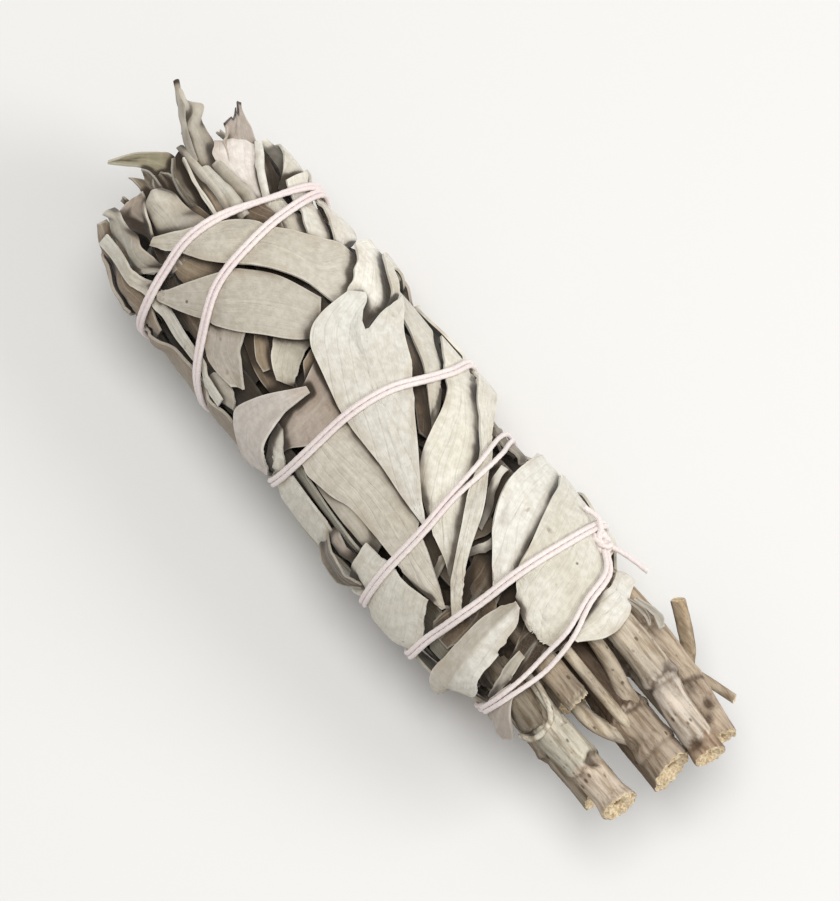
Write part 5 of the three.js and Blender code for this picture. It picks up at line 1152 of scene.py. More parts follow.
def strand_tube(layout, sign):
    """One strand of the doubled string; on the hidden side one of the two rides up a little."""
    x, phi, r = layout.route.T
    radius = layout.settings.strand_diameter / 2
    half = np.full(len(x), radius * 1.02)
    for at, apart, spread in STRAND_PARTINGS:
        half = half + (apart - radius) * np.exp(-(((phi - at) / spread) ** 2))
    hidden = np.cos(np.radians(phi - 160)) > 0.6
    roll = np.where(hidden, 0.5, 0.0)
    roll = np.convolve(np.pad(roll, 20, mode="edge"), np.ones(41) / 41, mode="valid")
    across, upward = np.sin(np.radians(phi)), np.cos(np.radians(phi))
    middle = np.stack([x, AXIS_SIDE + r * across, AXIS_HEIGHT + SECTION_SQUASH * r * upward], -1)
    _, side, out = frames_along(middle, np.stack([np.zeros(len(phi)), across, upward], -1))
    centre = middle + sign * (half * np.cos(roll))[:, None] * side
    centre += (radius * (1 + (1 + sign) * 0.9 * np.sin(roll)))[:, None] * out
    centre[:, 2] = np.maximum(centre[:, 2], radius + 0.05)
    travelled = np.arange(len(x)) * STRING_STEP
    return twisted_strand(centre, side, out, radius, travelled, layout.settings.twist_pitch, sign)


def thin_tube(line, radius, pitch):
    """A short piece of strand, a little frayed at its end."""
    count = 40
    samples = smooth_line(line, np.linspace(0, 1, count))
    _, side, out = frames_along(samples, np.tile([0.0, 0.0, 1.0], (count, 1)))
    travelled = np.linspace(0, np.linalg.norm(np.diff(samples, axis=0), axis=1).sum(), count)
    fray = 1 + 0.25 * np.clip((np.linspace(0, 1, count) - 0.8) / 0.2, 0, 1)
    return twisted_strand(samples, side, out, radius, travelled, pitch, fray=fray[:, None])


def deselect():
    bpy.ops.object.select_all(action="DESELECT")


def only(piece):
    """Selects a piece and nothing else."""
    deselect()
    piece.select_set(True)
    bpy.context.view_layer.objects.active = piece


def new_grid(name, rows, columns):
    """A flat grid of rows by columns faces; returns it with each vertex's row and column."""
    deselect()
    bpy.ops.mesh.primitive_grid_add(x_subdivisions=columns, y_subdivisions=rows, size=1)
    piece = bpy.context.object
    piece.name = name
    piece.data.name = name
    flat = np.zeros(len(piece.data.vertices) * 3)
    piece.data.vertices.foreach_get("co", flat)
    flat = flat.reshape(-1, 3)
    column = np.rint((flat[:, 0] + 0.5) * columns).astype(int)
    row = np.rint((flat[:, 1] + 0.5) * rows).astype(int)
    return piece, row, column


def place_vertices(piece, points):
    """Moves a mesh's vertices to points in metres."""
    piece.data.vertices.foreach_set("co", points.astype(np.float32).ravel())
    piece.data.update()


def give_colour(piece, name, colours):
    layer = piece.data.attributes.new(name, "FLOAT_COLOR", "POINT")
    filled = np.concatenate([colours, np.ones((len(colours), 1))], 1)
    layer.data.foreach_set("color", filled.astype(np.float32).ravel())


def give_value(piece, name, values):
    layer = piece.data.attributes.new(name, "FLOAT", "POINT")
    layer.data.foreach_set("value", values.astype(np.float32))


def give_surface_uv(piece, across, along):
    """A map in centimetres over the piece, for veins and fibres."""
    uv = piece.data.uv_layers.active or piece.data.uv_layers.new(name="UVMap")
    corners = np.zeros(len(piece.data.loops), int)
    piece.data.loops.foreach_get("vertex_index", corners)
    pairs = np.stack([across[corners], along[corners]], -1) * 0.1
    uv.data.foreach_set("uv", pairs.astype(np.float32).ravel())


# A leaf is painted darker and browner the deeper in it lies: painted shade for the hollows among
# the leaves, and the browner colour of inner leaves. Full colour comes this far over the packed
# middle, and for a tip at twice this radius; then the darkest share, what is added to it, the tint
LIT_DEPTH = 3.2
TIP_RADIUS = 6.5
DEEP_SHADE_DARKEST, DEEP_SHADE_ADDED = 0.55, 0.45
DEEP_SHADE_AND_BROWN_TINT = (1.0, 0.90, 0.75)


def leaf_piece(name, sheet, layout, thickness):
    """One leaf as a thin closed shell, with the values that its material reads."""
    rows, columns = sheet.x.shape[0] - 1, sheet.x.shape[1] - 1
    piece, row, column = new_grid(name, rows, columns)
    r = layout.pressed(sheet.x, sheet.phi, sheet.r)
    points = to_space(sheet.x, sheet.phi, r)
    place_vertices(piece, points[row, column])
    u = sheet.u[row, column]
    t = sheet.t[row, column]
    rng = np.random.default_rng(int(abs(sheet.x).sum() * 10) % 100000)
    tint = np.array(TINTS[sheet.leaf["tint"]])
    second = np.array(TINTS[sheet.leaf.get("second", sheet.leaf["tint"])])
    half = np.clip((t - 0.5) / 0.05, 0, 1)[:, None]
    colour = (tint * (1 - half) + second * half) * rng.uniform(0.93, 1.06)
    colour = colour * sheet.leaf.get("shade", 1.0)
    # Painted shade, and some browning, for leaves that lie deep in the bundle
    depth = (r - core_radius(sheet.x, sheet.phi)) / LIT_DEPTH
    if "rise" in sheet.leaf:
        depth = (r - TIP_RADIUS) / TIP_RADIUS
    depth = np.clip(depth, 0, 1)[row, column]
    colour = colour * (DEEP_SHADE_DARKEST + DEEP_SHADE_ADDED * depth)[:, None]
    colour = colour * (np.array(DEEP_SHADE_AND_BROWN_TINT) ** (1 - depth)[:, None])
    give_colour(piece, "leaf_colour", colour)
    widths = np.hypot(
        sheet.x[:, -1] - sheet.x[:, 0], (sheet.phi[:, -1] - sheet.phi[:, 0]) * MM_PER_DEGREE
    )
    margin = np.minimum(t, 1 - t) * widths[row]
    give_value(piece, "margin", np.minimum(margin, (1 - u) * sheet.length))
    # Painted shadow beside the edges of other leaves and in the creases, and the browned broken end
    painted_shadow_share = np.maximum(layout.sheltered(sheet, thickness), sheet.marked())
    give_value(piece, "sheltered", painted_shadow_share[row, column])
    give_value(piece, "spots", np.full(len(u), sheet.leaf.get("spots", 0.15)))
    give_surface_uv(piece, (t - 0.5) * sheet.width + rng.uniform(0, 90), u * sheet.length)
    give_value(piece, "across", (t - 0.5) * widths[row])
    shell = piece.modifiers.new("Thickness", "SOLIDIFY")
    shell.thickness = thickness * MM
    shell.offset = 1 if outward_faces(piece) else -1
    shell.use_even_offset = False
    only(piece)
    bpy.ops.object.modifier_apply(modifier=shell.name)
    return piece


def outward_faces(piece):
    """Whether a leaf's faces look away from the bundle's axis."""
    count = len(piece.data.polygons)
    centres = np.zeros(count * 3)
    normals = np.zeros(count * 3)
    piece.data.polygons.foreach_get("center", centres)
    piece.data.polygons.foreach_get("normal", normals)
    away = centres.reshape(-1, 3) - np.array([0, AXIS_SIDE, AXIS_HEIGHT]) * MM
    away[:, 0] = 0
    return (away * normals.reshape(-1, 3)).sum() > 0


def tube_piece(name, tube):
    """A closed skin over a tube's rings: a grid rolled up and joined along its seam."""
    rings, sides = tube.points.shape[0] - 1, tube.points.shape[1]
    piece, row, column = new_grid(name, rings, sides)
    place_vertices(piece, tube.points[row, column % sides] * MM)
    give_value(piece, "cut", tube.cut[row, column % sides])
    steps = np.linalg.norm(np.diff(tube.points[:, 0], axis=0), axis=1)
    along = np.concatenate([[0], np.cumsum(steps)])
    give_surface_uv(piece, column * 0.5, along[row])
    if tube.tint is not None:
        # Painted shade: a stem darker on its sides and underside than on its top, as the light
        # falls
        middle = tube.points.mean(axis=1, keepdims=True)
        out = tube.points - middle
        rise = out[..., 2] / np.maximum(np.linalg.norm(out, axis=-1), 1e-6)
        painted_side_shade = 0.5 + 0.5 * np.clip((rise + 0.35) / 1.0, 0, 1)
        give_colour(piece, "stem_colour", (tube.tint * painted_side_shade[..., None])[row, column % sides])
        give_value(piece, "groove", tube.groove[row, column % sides])
    only(piece)
    bpy.ops.object.mode_set(mode="EDIT")
    bpy.ops.mesh.select_all(action="SELECT")
    bpy.ops.mesh.remove_doubles(threshold=1e-6)
    bpy.ops.mesh.normals_make_consistent(inside=False)
    bpy.ops.object.mode_set(mode="OBJECT")
    return piece


def joined(pieces, name):
    """One piece made of several."""
    deselect()
    for piece in pieces:
        piece.select_set(True)
    bpy.context.view_layer.objects.active = pieces[0]
    if len(pieces) > 1:
        bpy.ops.object.join()
    piece = bpy.context.object
    piece.name = name
    piece.data.name = name
    return piece


def finish_piece(piece, material, node, angle=50):
    """Smooths a piece, gives it its material, hangs it under the root body and hides the imported
    part it stands for.
    """
    only(piece)
    bpy.ops.object.shade_smooth_by_angle(angle=math.radians(angle))
    piece.data.materials.clear()
    piece.data.materials.append(material)
    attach(piece, "root")
    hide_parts(node)


class Shader:
    """Small helper that adds and links a material's nodes."""

    def __init__(self, name):
        self.material = bpy.data.materials.get(name) or bpy.data.materials.new(name)
        self.material.use_nodes = True
        self.tree = self.material.node_tree
        self.tree.nodes.clear()
        self.out = self.add("ShaderNodeOutputMaterial")
        self.body = self.add("ShaderNodeBsdfPrincipled")
        self.join(self.body, "BSDF", self.out, "Surface")

    def add(self, kind, **values):
        node = self.tree.nodes.new(kind)
        for key, value in values.items():
            if key in node.inputs:
                node.inputs[key].default_value = value
            else:
                setattr(node, key, value)
        return node

    def join(self, source, output, target, socket):
        self.tree.links.new(source.outputs[output], target.inputs[socket])

    def math(self, operation, first, second=None, clamp=False):
        node = self.add("ShaderNodeMath", operation=operation, use_clamp=clamp)
        for socket, value in enumerate((first, second)):
            if isinstance(value, (int, float)):
                node.inputs[socket].default_value = value
            elif value is not None:
                self.tree.links.new(value, node.inputs[socket])
        return node.outputs[0]

    def ramp(self, value, low, high):
        node = self.add("ShaderNodeMapRange", interpolation_type="SMOOTHSTEP")
        node.inputs["From Min"].default_value = low
        node.inputs["From Max"].default_value = high
        self.tree.links.new(value, node.inputs["Value"])
        return node.outputs["Result"]

    def mix(self, share, first, second, blend="MIX"):
        node = self.add("ShaderNodeMix", data_type="RGBA", blend_type=blend)
        for socket, value in ((node.inputs["Factor"], share), (node.inputs[6], first),
                              (node.inputs[7], second)):
            if isinstance(value, (int, float)):
                socket.default_value = value
            elif isinstance(value, tuple):
                socket.default_value = (*value, 1)
            else:
                self.tree.links.new(value, socket)
        return node.outputs[2]

    def noise(self, vector, scale, detail=4.0, roughness=0.55):
        node = self.add("ShaderNodeTexNoise", Scale=scale, Detail=detail, Roughness=roughness)
        self.tree.links.new(vector, node.inputs["Vector"])
        return node.outputs["Fac"]

    def cells(self, vector, scale, feature="DISTANCE_TO_EDGE"):
        node = self.add("ShaderNodeTexVoronoi", feature=feature, Scale=scale)
        self.tree.links.new(vector, node.inputs["Vector"])
        return node.outputs["Distance"]

    def stretched(self, vector, scale):
        node = self.add("ShaderNodeMapping")
        node.inputs["Scale"].default_value = scale
        self.tree.links.new(vector, node.inputs["Vector"])
        return node.outputs["Vector"]

    def attribute(self, name, output="Fac"):
        return self.add("ShaderNodeAttribute", attribute_name=name).outputs[output]

    def bump(self, height, strength, distance_mm, after=None):
        node = self.add("ShaderNodeBump", Strength=strength, Distance=distance_mm * MM)
        self.tree.links.new(height, node.inputs["Height"])
        if after is not None:
            self.tree.links.new(after, node.inputs["Normal"])
        return node.outputs["Normal"]

    def roughness(self, value, low, high):
        node = self.add("ShaderNodeMapRange")
        node.inputs["To Min"].default_value = low
        node.inputs["To Max"].default_value = high
        self.tree.links.new(value, node.inputs["Value"])
        self.join(node, "Result", self.body, "Roughness")

    def place(self, kind):
        return self.add("ShaderNodeTexCoord").outputs[kind]

    def stain(self, colour, share, amount, tint):
        """A tint over a colour, where and as much as a share says."""
        return self.mix(self.math("MULTIPLY", share, amount), colour, tint)

    def wash(self, colour, value, low, high, tint, amount=None):
        """A colour multiplied by a tint where a value goes from low to high."""
        share = self.ramp(value, low, high)
        if amount is not None:
            share = self.math("MULTIPLY", share, amount)
        return self.mix(share, colour, tint, "MULTIPLY")

    def dress(self, colour, normal=None, specular=0.5, sheen=(0, 0.5)):
        """Links the colour and the relief, sets gloss and sheen, and gives the material."""
        inputs = self.body.inputs
        self.tree.links.new(colour, inputs["Base Color"])
        if normal is not None:
            self.tree.links.new(normal, inputs["Normal"])
        inputs["Specular IOR Level"].default_value = specular
        inputs["Sheen Weight"].default_value, inputs["Sheen Roughness"].default_value = sheen
        return self.material


def leaf_material(finish):
    """Downy grey-green leaf: midrib, netted veins, pink and brown mottling, pale margins with a
    painted highlight, and painted shadow where leaves overlap.
    """
    s = Shader("dried_sage_leaf")
    place = s.place("Object")
    surface = s.place("UV")
    colour = s.attribute("leaf_colour", "Color")
    # Mottling, broad and fine, and fibres along the leaf
    broad = s.noise(place, 110, 3)
    fine = s.noise(place, 1100, 4)
    cast = s.noise(place, 60, 2)
    fibres = s.noise(s.stretched(surface, (26, 1.1, 1)), 3, 4, 0.6)
    colour = s.wash(colour, broad, 0.35, 0.7, (0.88, 0.86, 0.825))
    colour = s.wash(colour, cast, 0.5, 0.75, (0.96, 0.90, 0.87), 0.6)
    colour = s.wash(colour, fine, 0.35, 0.65, (0.86, 0.85, 0.83))
    colour = s.wash(colour, fibres, 0.38, 0.68, (0.89, 0.88, 0.86))
    # The net of small veins, the side veins aslant from the midrib, and the midrib
    vein = s.ramp(s.cells(surface, 9.5), 0.07, 0.0)
    colour = s.stain(colour, vein, 0.05, (0.78, 0.74, 0.64))
    width = s.math("ABSOLUTE", s.attribute("across"))
    along = s.add("ShaderNodeSeparateXYZ")
    s.tree.links.new(surface, along.inputs[0])
    slope = s.math("SUBTRACT", along.outputs["Y"], s.math("MULTIPLY", width, 1.25))
    slope = s.math("ADD", slope, s.math("MULTIPLY", broad, 1.6))
    side = s.ramp(s.math("PINGPONG", slope, 0.95), 0.2, 0.0)
    colour = s.stain(colour, side, 0.22, (0.56, 0.52, 0.43))
    rib = s.ramp(width, 0.42, 0.12)
    colour = s.stain(colour, rib, finish.midrib, (0.80, 0.76, 0.66))
    # Brown spots, as many as the leaf's own value says, and small dark flecks
    level = s.math("SUBTRACT", 0.80, s.math("MULTIPLY", s.attribute("spots"), 0.16))
    spots = s.math("SUBTRACT", s.noise(place, 420, 2, 0.5), level)
    spotted = s.math("MULTIPLY", spots, 12, clamp=True)
    colour = s.stain(colour, spotted, 0.75, tuple(finish.spot_colour))
    few = s.ramp(s.noise(place, 160, 1), 0.60, 0.66)
    fleck = s.math("MULTIPLY", s.ramp(s.cells(place, 330, "F1"), 0.10, 0.05), few)
    colour = s.stain(colour, fleck, 0.8, (0.10, 0.065, 0.04))
    # Pale margins, their own paler colour and a painted highlight where the rolled rim catches
    # light, with brown blots
    margin = s.attribute("margin")
    colour = s.stain(colour, s.ramp(margin, 0.30, 0.05), 0.35, tuple(finish.margin_colour_and_highlight))
    blots = s.ramp(s.noise(place, 190, 3), 0.46, 0.66)
    blotted = s.math("MULTIPLY", s.ramp(margin, 1.8, 0.1), blots)
    colour = s.stain(colour, blotted, 0.42, (0.42, 0.33, 0.235))
    # Painted shadow where another leaf covers it, darkest along the line of contact
    uneven = s.math("MULTIPLY", s.math("SUBTRACT", broad, 0.5), 0.5)
    painted_shadow_share = s.math("ADD", s.attribute("sheltered"), uneven)
    colour = s.stain(colour, s.ramp(painted_shadow_share, 0.2, 1.0), 0.4, (0.16, 0.115, 0.075))
    contact_shadow = s.ramp(painted_shadow_share, 0.74, 1.04)
    colour = s.stain(colour, contact_shadow, finish.crevice_shadow, (0.035, 0.024, 0.015))
    s.roughness(fine, 0.78, 0.94)
    normal = s.bump(vein, 0.15, 0.10)
    normal = s.bump(s.math("SUBTRACT", 1, side), 0.3, 0.16, normal)
    normal = s.bump(rib, 0.3, 0.2, normal)
    normal = s.bump(s.noise(surface, 6, 5, 0.6), 0.35, 0.5, normal)
    normal = s.bump(fine, 0.3, 0.12, normal)
    return s.dress(colour, normal, 0.22, (0.25, 0.55))


def stem_material(finish):
    """Dry woody stem: streaks along it, specks, and cream fibres with brown pith at the cut, over a
    colour with painted shade on its sides.
    """
    s = Shader("dried_sage_stem")
    place = s.place("Object")
    streaks = s.noise(s.stretched(place, (0.12, 1, 1)), 1500, 5, 0.6)
    patches = s.noise(s.stretched(place, (0.5, 1, 1)), 240, 3)
    colour = s.attribute("stem_colour", "Color")
    colour = s.wash(colour, streaks, 0.35, 0.7, (0.46, 0.40, 0.34))
    colour = s.wash(colour, patches, 0.45, 0.7, (1.28, 1.25, 1.2))
    specks = s.cells(s.stretched(place, (0.6, 1, 1)), 900, "F1")
    few = s.ramp(s.noise(place, 300, 2), 0.46, 0.58)
    speck = s.math("MULTIPLY", s.ramp(specks, 0.26, 0.12), few)
    colour = s.stain(colour, speck, 0.8, (0.07, 0.045, 0.027))
    pits = s.ramp(s.noise(place, 1900, 3, 0.6), 0.6, 0.74)
    colour = s.stain(colour, pits, 0.5, (0.17, 0.125, 0.085))
    # Dark lines at nodes, lips and notches: their own brown and painted shade in the dips
    colour = s.stain(colour, s.attribute("groove"), 0.8, (0.07, 0.045, 0.028))
    # The cut end: cream wood, and brown pith in its middle
    cut = s.attribute("cut")
    fibres = s.noise(place, 2600, 3)
    wood = s.mix(s.ramp(fibres, 0.35, 0.7), tuple(finish.cut_colour), (0.50, 0.36, 0.20))
    colour = s.mix(s.ramp(cut, 0.3, 0.9), colour, wood)
    colour = s.mix(s.ramp(cut, 1.2, 1.9), colour, (0.20, 0.11, 0.05))
    s.roughness(streaks, 0.68, 0.92)
    normal = s.bump(fibres, 0.45, 0.12, s.bump(streaks, 0.85, 0.3))
    return s.dress(colour, normal, 0.25)


def string_material(finish):
    """Soft twisted cotton with a pink cast."""
    s = Shader("cotton_string")
    place = s.place("Object")
    fuzz = s.noise(place, 3200, 4, 0.65)
    cast = s.noise(place, 60, 2)
    colour = s.mix(s.ramp(cast, 0.4, 0.65), tuple(finish.string_colour), (0.82, 0.72, 0.71))
    colour = s.wash(colour, fuzz, 0.4, 0.75, (0.86, 0.83, 0.82))
    s.roughness(fuzz, 0.84, 0.98)
    return s.dress(colour, s.bump(fuzz, 0.4, 0.12), 0.2, (0.4, 0.5))


def packed_material():
    """The inside of the bundle, painted near black: brown crumbs and painted shade deep among them.
    """
    s = Shader("packed_inside")
    crumbs = s.noise(s.place("Object"), 500, 5, 0.65)
    colour = s.mix(s.ramp(crumbs, 0.35, 0.7), (0.02, 0.014, 0.009), (0.10, 0.07, 0.045))
    s.roughness(crumbs, 0.85, 1.0)
    return s.dress(colour, s.bump(crumbs, 0.8, 0.6))


def floor_material(studio):
    """The pale matt floor, very slightly uneven in colour."""
    s = Shader("studio_floor")
    grain = s.noise(s.place("Object"), 90, 3)
    colour = s.stain(tuple(studio.floor_colour), grain, 0.05, (0.80, 0.78, 0.75))
    s.roughness(grain, 0.86, 0.96)
    return s.dress(colour, specular=0.1)


class SAGE_PG_bundle(bpy.types.PropertyGroup):
    """How the leaves are cut and laid, in millimetres."""

    leaf_thickness: bpy.props.FloatProperty(
        name="Leaf thickness", description="Thickness of a wrapping leaf in mm", default=0.36)
    inner_thickness: bpy.props.FloatProperty(
        name="Inner leaf thickness", description="Thickness of an inner leaf in mm", default=0.3)
    leaf_gap: bpy.props.FloatProperty(
        name="Leaf gap", description="Air between two leaves in mm", default=0.1)
    cell: bpy.props.FloatProperty(
        name="Cell", description="Size of a leaf's mesh cells in mm", default=0.46)
    strand_diameter: bpy.props.FloatProperty(
        name="Strand", description="Thickness of one strand of string in mm", default=0.66)
    twist_pitch: bpy.props.FloatProperty(
        name="Twist pitch", description="Length of one turn of a strand's twist in mm", default=2.6)
    string_bite: bpy.props.FloatProperty(
        name="String bite", description="How deep the string presses in, in mm", default=0.35)
    string_stiffness: bpy.props.FloatProperty(
        name="String span", description="Length over which the string evens out in mm", default=3.6)


class SAGE_PG_finish(bpy.types.PropertyGroup):
    """Colours of the finishes, as linear light, and how much of them shows."""

    midrib: bpy.props.FloatProperty(
        name="Midrib", description="How much a leaf's midrib shows", default=0.10, min=0, max=1,
        subtype="FACTOR")
    # How much painted shadow darkens a leaf where another one covers it
    crevice_shadow: bpy.props.FloatProperty(
        name="Crevices", description="How much darker a leaf is where another one covers it",
        default=0.94, min=0, max=1, subtype="FACTOR")
    # A leaf's pale margin: its own paler colour and a painted highlight on the rolled rim
    margin_colour_and_highlight: bpy.props.FloatVectorProperty(
        name="Leaf margin", description="Colour of a leaf's dry margin", subtype="COLOR",
        default=(0.80, 0.77, 0.68), min=0, max=1)
    spot_colour: bpy.props.FloatVectorProperty(
        name="Leaf spots", description="Colour of a leaf's brown spots", subtype="COLOR",
        default=(0.20, 0.125, 0.075), min=0, max=1)
    cut_colour: bpy.props.FloatVectorProperty(
        name="Cut stem", description="Colour of a stem's fresh cut", subtype="COLOR",
        default=(0.80, 0.68, 0.48), min=0, max=1)
    string_colour: bpy.props.FloatVectorProperty(
        name="String", description="Colour of the cotton string", subtype="COLOR",
        default=(0.86, 0.78, 0.76), min=0, max=1)


class SAGE_PG_studio(bpy.types.PropertyGroup):
    """The floor, the lights and the camera."""

    floor_colour: bpy.props.FloatVectorProperty(
        name="Floor", description="Colour of the studio floor", subtype="COLOR",
        default=(0.80, 0.80, 0.795), min=0, max=1)
    key_power: bpy.props.FloatProperty(
        name="Key light", description="Power of the large soft light overhead", default=4.3, min=0,
        unit="POWER")
    side_power: bpy.props.FloatProperty(
        name="Side light", description="Power of the low light from the right", default=3.45,
        min=0, unit="POWER")
    ambient: bpy.props.FloatProperty(
        name="Ambient", description="Strength of the light from all round", default=0.415, min=0)
    azimuth: bpy.props.FloatProperty(
        name="Camera azimuth", description="Direction that the camera looks along, from +Y",
        default=math.radians(51.2), subtype="ANGLE")
    elevation: bpy.props.FloatProperty(
        name="Camera elevation", description="Height of the camera over the floor as an angle",
        default=math.radians(75), subtype="ANGLE")
    distance: bpy.props.FloatProperty(
        name="Camera distance", description="Distance from the camera to the bundle",
        default=0.42, min=0.1, unit="LENGTH")
    lens: bpy.props.FloatProperty(
        name="Lens", description="Focal length of the camera in mm", default=125.86, min=20)


LAYOUT = {}


def bundle_layout(scene):
    """The layout, worked out once for all the operators."""
    if "layout" not in LAYOUT:
        LAYOUT["layout"] = Layout(scene.sage_bundle)
    return LAYOUT["layout"]


class SAGE_OT_inner_bunch(bpy.types.Operator):
    """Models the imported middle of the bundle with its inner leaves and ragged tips"""

    bl_idname = "sage.inner_bunch"
    bl_label = "Inner bunch"
    RINGS, SIDES = 60, 72
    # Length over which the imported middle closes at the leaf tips
    ROUNDING = 9.0

    def execute(self, context):
        scene = context.scene
        layout = bundle_layout(scene)
        leaf = leaf_material(scene.sage_finish)
        leaves = [
            leaf_piece(f"inner_{k}", sheet, layout, scene.sage_bundle.inner_thickness)
            for k, sheet in enumerate(layout.inner)
        ]
        leafage = joined(leaves, "inner_leaves")
        finish_piece(leafage, leaf, "inner_bunch")
        start = CORE_TIP_X - 1
        x = np.linspace(start, CORE_STEM_X, self.RINGS + 1)[:, None]
        phi = np.linspace(0, 360, self.SIDES, endpoint=False)[None, :]
        short = np.clip(start + self.ROUNDING - x, 0, self.ROUNDING) / self.ROUNDING
        close = np.sqrt(np.clip(1 - short**2, 0, 1))
        close = close * np.clip((CORE_STEM_X + 0.6 - x) / 2, 0, 1) ** 0.5
        lumps = 0.35 * np.sin(np.radians(phi * 5) + x * 0.35)
        lumps = lumps + 0.25 * np.sin(np.radians(phi * 13) - x * 0.9)
        r = (core_radius(x, phi) - 0.8 + lumps) * close
        points = to_space(x, phi, np.maximum(r, 0.0)) / MM
        points[0] = points[0].mean(0)
        points[-1] = points[-1].mean(0)
        core = tube_piece("packed_middle", Tube(points))
        finish_piece(core, packed_material(), "inner_bunch")
        return {"FINISHED"}


class SAGE_OT_wrapping_leaves(bpy.types.Operator):
    """Models every wrapping leaf over the bunch, those of the hidden side too"""

    bl_idname = "sage.wrapping_leaves"
    bl_label = "Wrapping leaves"

    def execute(self, context):
        scene = context.scene
        layout = bundle_layout(scene)
        material = leaf_material(scene.sage_finish)
        for sheet in layout.wrapping:
            node = sheet.leaf["name"]
            piece = leaf_piece(f"fine_{node}", sheet, layout, scene.sage_bundle.leaf_thickness)
            finish_piece(piece, material, node)
        return {"FINISHED"}


class SAGE_OT_stems(bpy.types.Operator):
    """Models the stems with their ribs, knuckles, side twigs and cut ends"""

    bl_idname = "sage.stems"
    bl_label = "Stems"

    def execute(self, context):
        scene = context.scene
        layout = bundle_layout(scene)
        material = stem_material(scene.sage_finish)
        for stem in STEMS:
            name = stem["name"]
            tubes = [
                tube_piece(f"{name}_{k}", tube)
                for k, tube in enumerate(layout.stems[name])
            ]
            piece = joined(tubes, f"fine_{name}")
            finish_piece(piece, material, name, 60)
        return {"FINISHED"}


class SAGE_OT_string(bpy.types.Operator):
    """Models the doubled string with its knot, hitch and tails"""

    bl_idname = "sage.string"
    bl_label = "String"
    # How the loops of a knot are turned, their length in widths, and one turn of their twist
    LOOP_TURNS = (0.0, 1.1, 2.2)
    LOOP_LENGTH = 1.5
    LOOP_PITCH = 2.6

    def execute(self, context):
        scene = context.scene
        layout = bundle_layout(scene)
        settings = scene.sage_bundle
        tubes = [strand_tube(layout, sign) for sign in (-1, 1)]
        radius = settings.strand_diameter / 2
        for at, apart in KNOTS:
            tubes += self.lump(layout, at, radius, apart)
        for tail in TAILS:
            line = [to_space(x, phi, self.resting(layout, x, phi) + lift) / MM
                    for x, phi, lift in tail]
            tubes.append(thin_tube(np.array(line), radius, settings.twist_pitch))
        pieces = [tube_piece(f"strand_{k}", tube) for k, tube in enumerate(tubes)]
        piece = joined(pieces, "fine_string")
        finish_piece(piece, string_material(scene.sage_finish), "string", 60)
        return {"FINISHED"}

    def resting(self, layout, x, phi):
        """The string's radius where it passes nearest to a place."""
        route = layout.route
        turn = (route[:, 1] - phi + 180) % 360 - 180
        near = np.argmin(np.hypot(route[:, 0] - x, turn * MM_PER_DEGREE))
        return route[near, 2]

    def lump(self, layout, at, radius, apart):
        """A few tight loops of strand, as a knot."""
        x, phi = at
        r = self.resting(layout, x, phi) + radius
        loops = []
        for k, tilt in enumerate(self.LOOP_TURNS):
            angle = np.linspace(0, 2 * np.pi, 9)
            along = apart * self.LOOP_LENGTH * np.cos(angle)
            over = apart * np.sin(angle)
            line = to_space(
                x + along * math.cos(tilt) - over * math.sin(tilt),
                phi + (along * math.sin(tilt) + over * math.cos(tilt)) / MM_PER_DEGREE,
                r + 0.35 * k + 0.3 * np.sin(2 * angle),
            ) / MM
            loops.append(thin_tube(line, radius, self.LOOP_PITCH))
        return loops


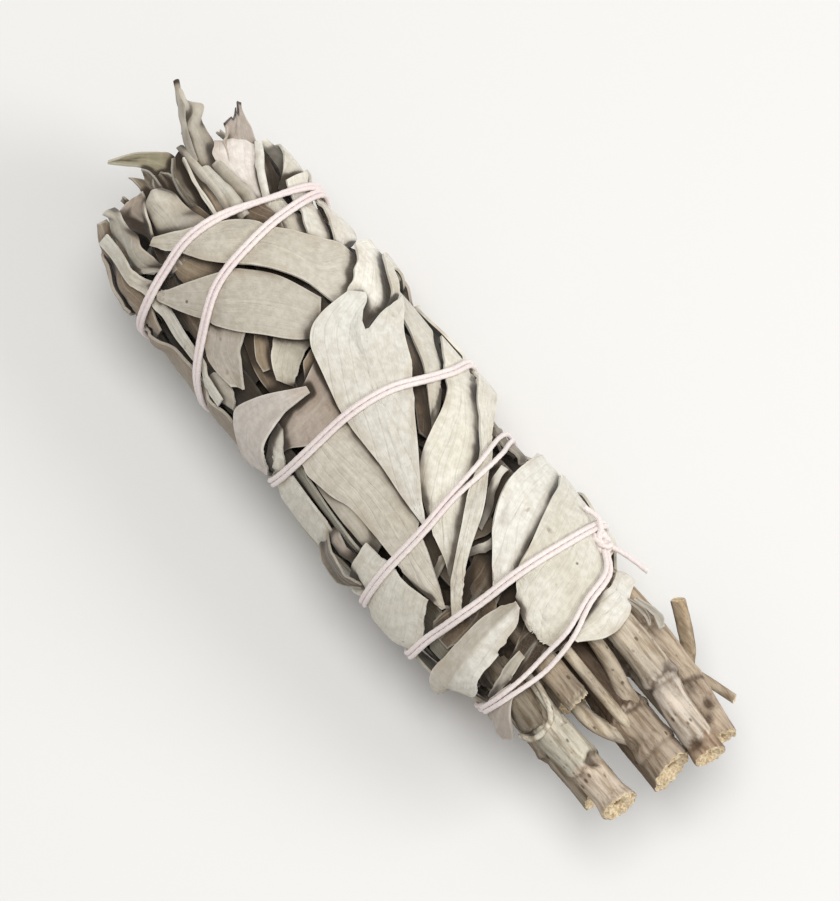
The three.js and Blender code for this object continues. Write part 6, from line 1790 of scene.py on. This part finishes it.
class SAGE_OT_studio(bpy.types.Operator):
    """Sets the pale floor, the soft lights and the camera"""

    bl_idname = "sage.studio"
    bl_label = "Studio"
    # Each lamp's place and size in metres, and its colour
    OVERHEAD = ((0.0, 0.02, 0.85), 0.5, (1.0, 0.99, 0.97))
    SIDE = ((0.58, 0.52, 0.46), 0.4, (1.0, 0.985, 0.96))
    # The photograph's size in pixels and where the bundle's middle is in it
    PHOTO_SIZE = (840, 901)
    PHOTO_MIDDLE = (394.9, 467.4)
    # How far under the bundle's axis that middle is, in metres
    MIDDLE_LOW = 0.0002
    SENSOR = 36.0

    def execute(self, context):
        scene = context.scene
        studio = scene.sage_studio
        deselect()
        bpy.ops.mesh.primitive_grid_add(x_subdivisions=8, y_subdivisions=8, size=3)
        floor = context.object
        floor.name = "floor"
        floor.data.materials.append(floor_material(studio))
        world = bpy.data.worlds.new("soft_surround")
        world.use_nodes = True
        background = world.node_tree.nodes["Background"]
        background.inputs["Color"].default_value = (1.0, 0.985, 0.965, 1)
        background.inputs["Strength"].default_value = studio.ambient
        scene.world = world
        scene.view_settings.view_transform = "Standard"
        self.add_light("overhead", studio.key_power, *self.OVERHEAD)
        self.add_light("side", studio.side_power, *self.SIDE)
        self.add_camera(scene, studio)
        return {"FINISHED"}

    def add_light(self, name, power, place, size, colour):
        """A round soft lamp that looks at the bundle."""
        light = bpy.data.lights.new(name, "AREA")
        light.shape = "DISK"
        light.size = size
        light.energy = power
        light.color = colour
        lamp = bpy.data.objects.new(name, light)
        bpy.context.scene.collection.objects.link(lamp)
        aim = Vector((0, 0, AXIS_HEIGHT * MM)) - Vector(place)
        turn = aim.to_track_quat("-Z", "Y").to_matrix().to_4x4()
        lamp.matrix_world = Matrix.Translation(place) @ turn

    def add_camera(self, scene, studio):
        """Looks down on the bundle as the photograph does, in its frame."""
        sa, ca = math.sin(studio.azimuth), math.cos(studio.azimuth)
        se, ce = math.sin(studio.elevation), math.cos(studio.elevation)
        right = Vector((ca, sa, 0))
        upward = Vector((-se * sa, se * ca, ce))
        back = Vector((sa * ce, -ca * ce, se))
        width, height = self.PHOTO_SIZE
        x, y = self.PHOTO_MIDDLE
        scale = studio.distance / (studio.lens / self.SENSOR * height)
        middle = Vector((0, 0, AXIS_HEIGHT * MM - self.MIDDLE_LOW))
        look = middle + right * (width / 2 - x) * scale - upward * (height / 2 - y) * scale
        camera = bpy.data.cameras.new("camera")
        camera.lens = studio.lens
        camera.sensor_width = self.SENSOR
        camera.sensor_height = self.SENSOR
        camera.sensor_fit = "VERTICAL"
        camera.clip_start = 0.01
        holder = bpy.data.objects.new("camera", camera)
        scene.collection.objects.link(holder)
        turn = Matrix((right, upward, back)).transposed().to_4x4()
        holder.matrix_world = Matrix.Translation(look + back * studio.distance) @ turn
        scene.camera = holder


class SAGE_PT_panel(bpy.types.Panel):
    """Lists the bundle's settings and its operators"""

    bl_label = "Sage bundle"
    bl_idname = "SAGE_PT_panel"
    bl_space_type = "VIEW_3D"
    bl_region_type = "UI"
    bl_category = "Sage bundle"

    def draw(self, context):
        column = self.layout.column()
        for group in GROUPS:
            settings = getattr(context.scene, group)
            for name in settings.__annotations__:
                column.prop(settings, name)
        for operator in OPERATORS:
            column.operator(operator.bl_idname)


OPERATORS = (
    SAGE_OT_studio, SAGE_OT_stems, SAGE_OT_inner_bunch, SAGE_OT_wrapping_leaves, SAGE_OT_string,
)
GROUPS = {
    "sage_bundle": SAGE_PG_bundle,
    "sage_finish": SAGE_PG_finish,
    "sage_studio": SAGE_PG_studio,
}


def register():
    for group in GROUPS.values():
        bpy.utils.register_class(group)
    for name, group in GROUPS.items():
        setattr(bpy.types.Scene, name, bpy.props.PointerProperty(type=group))
    for operator in OPERATORS:
        bpy.utils.register_class(operator)
    bpy.utils.register_class(SAGE_PT_panel)


def unregister():
    bpy.utils.unregister_class(SAGE_PT_panel)
    for operator in reversed(OPERATORS):
        bpy.utils.unregister_class(operator)
    for name, group in GROUPS.items():
        delattr(bpy.types.Scene, name)
        bpy.utils.unregister_class(group)


def main():
    register()
    for operator in OPERATORS:
        family, name = operator.bl_idname.split(".")
        getattr(getattr(bpy.ops, family), name)()


if __name__ == "__main__":
    main()
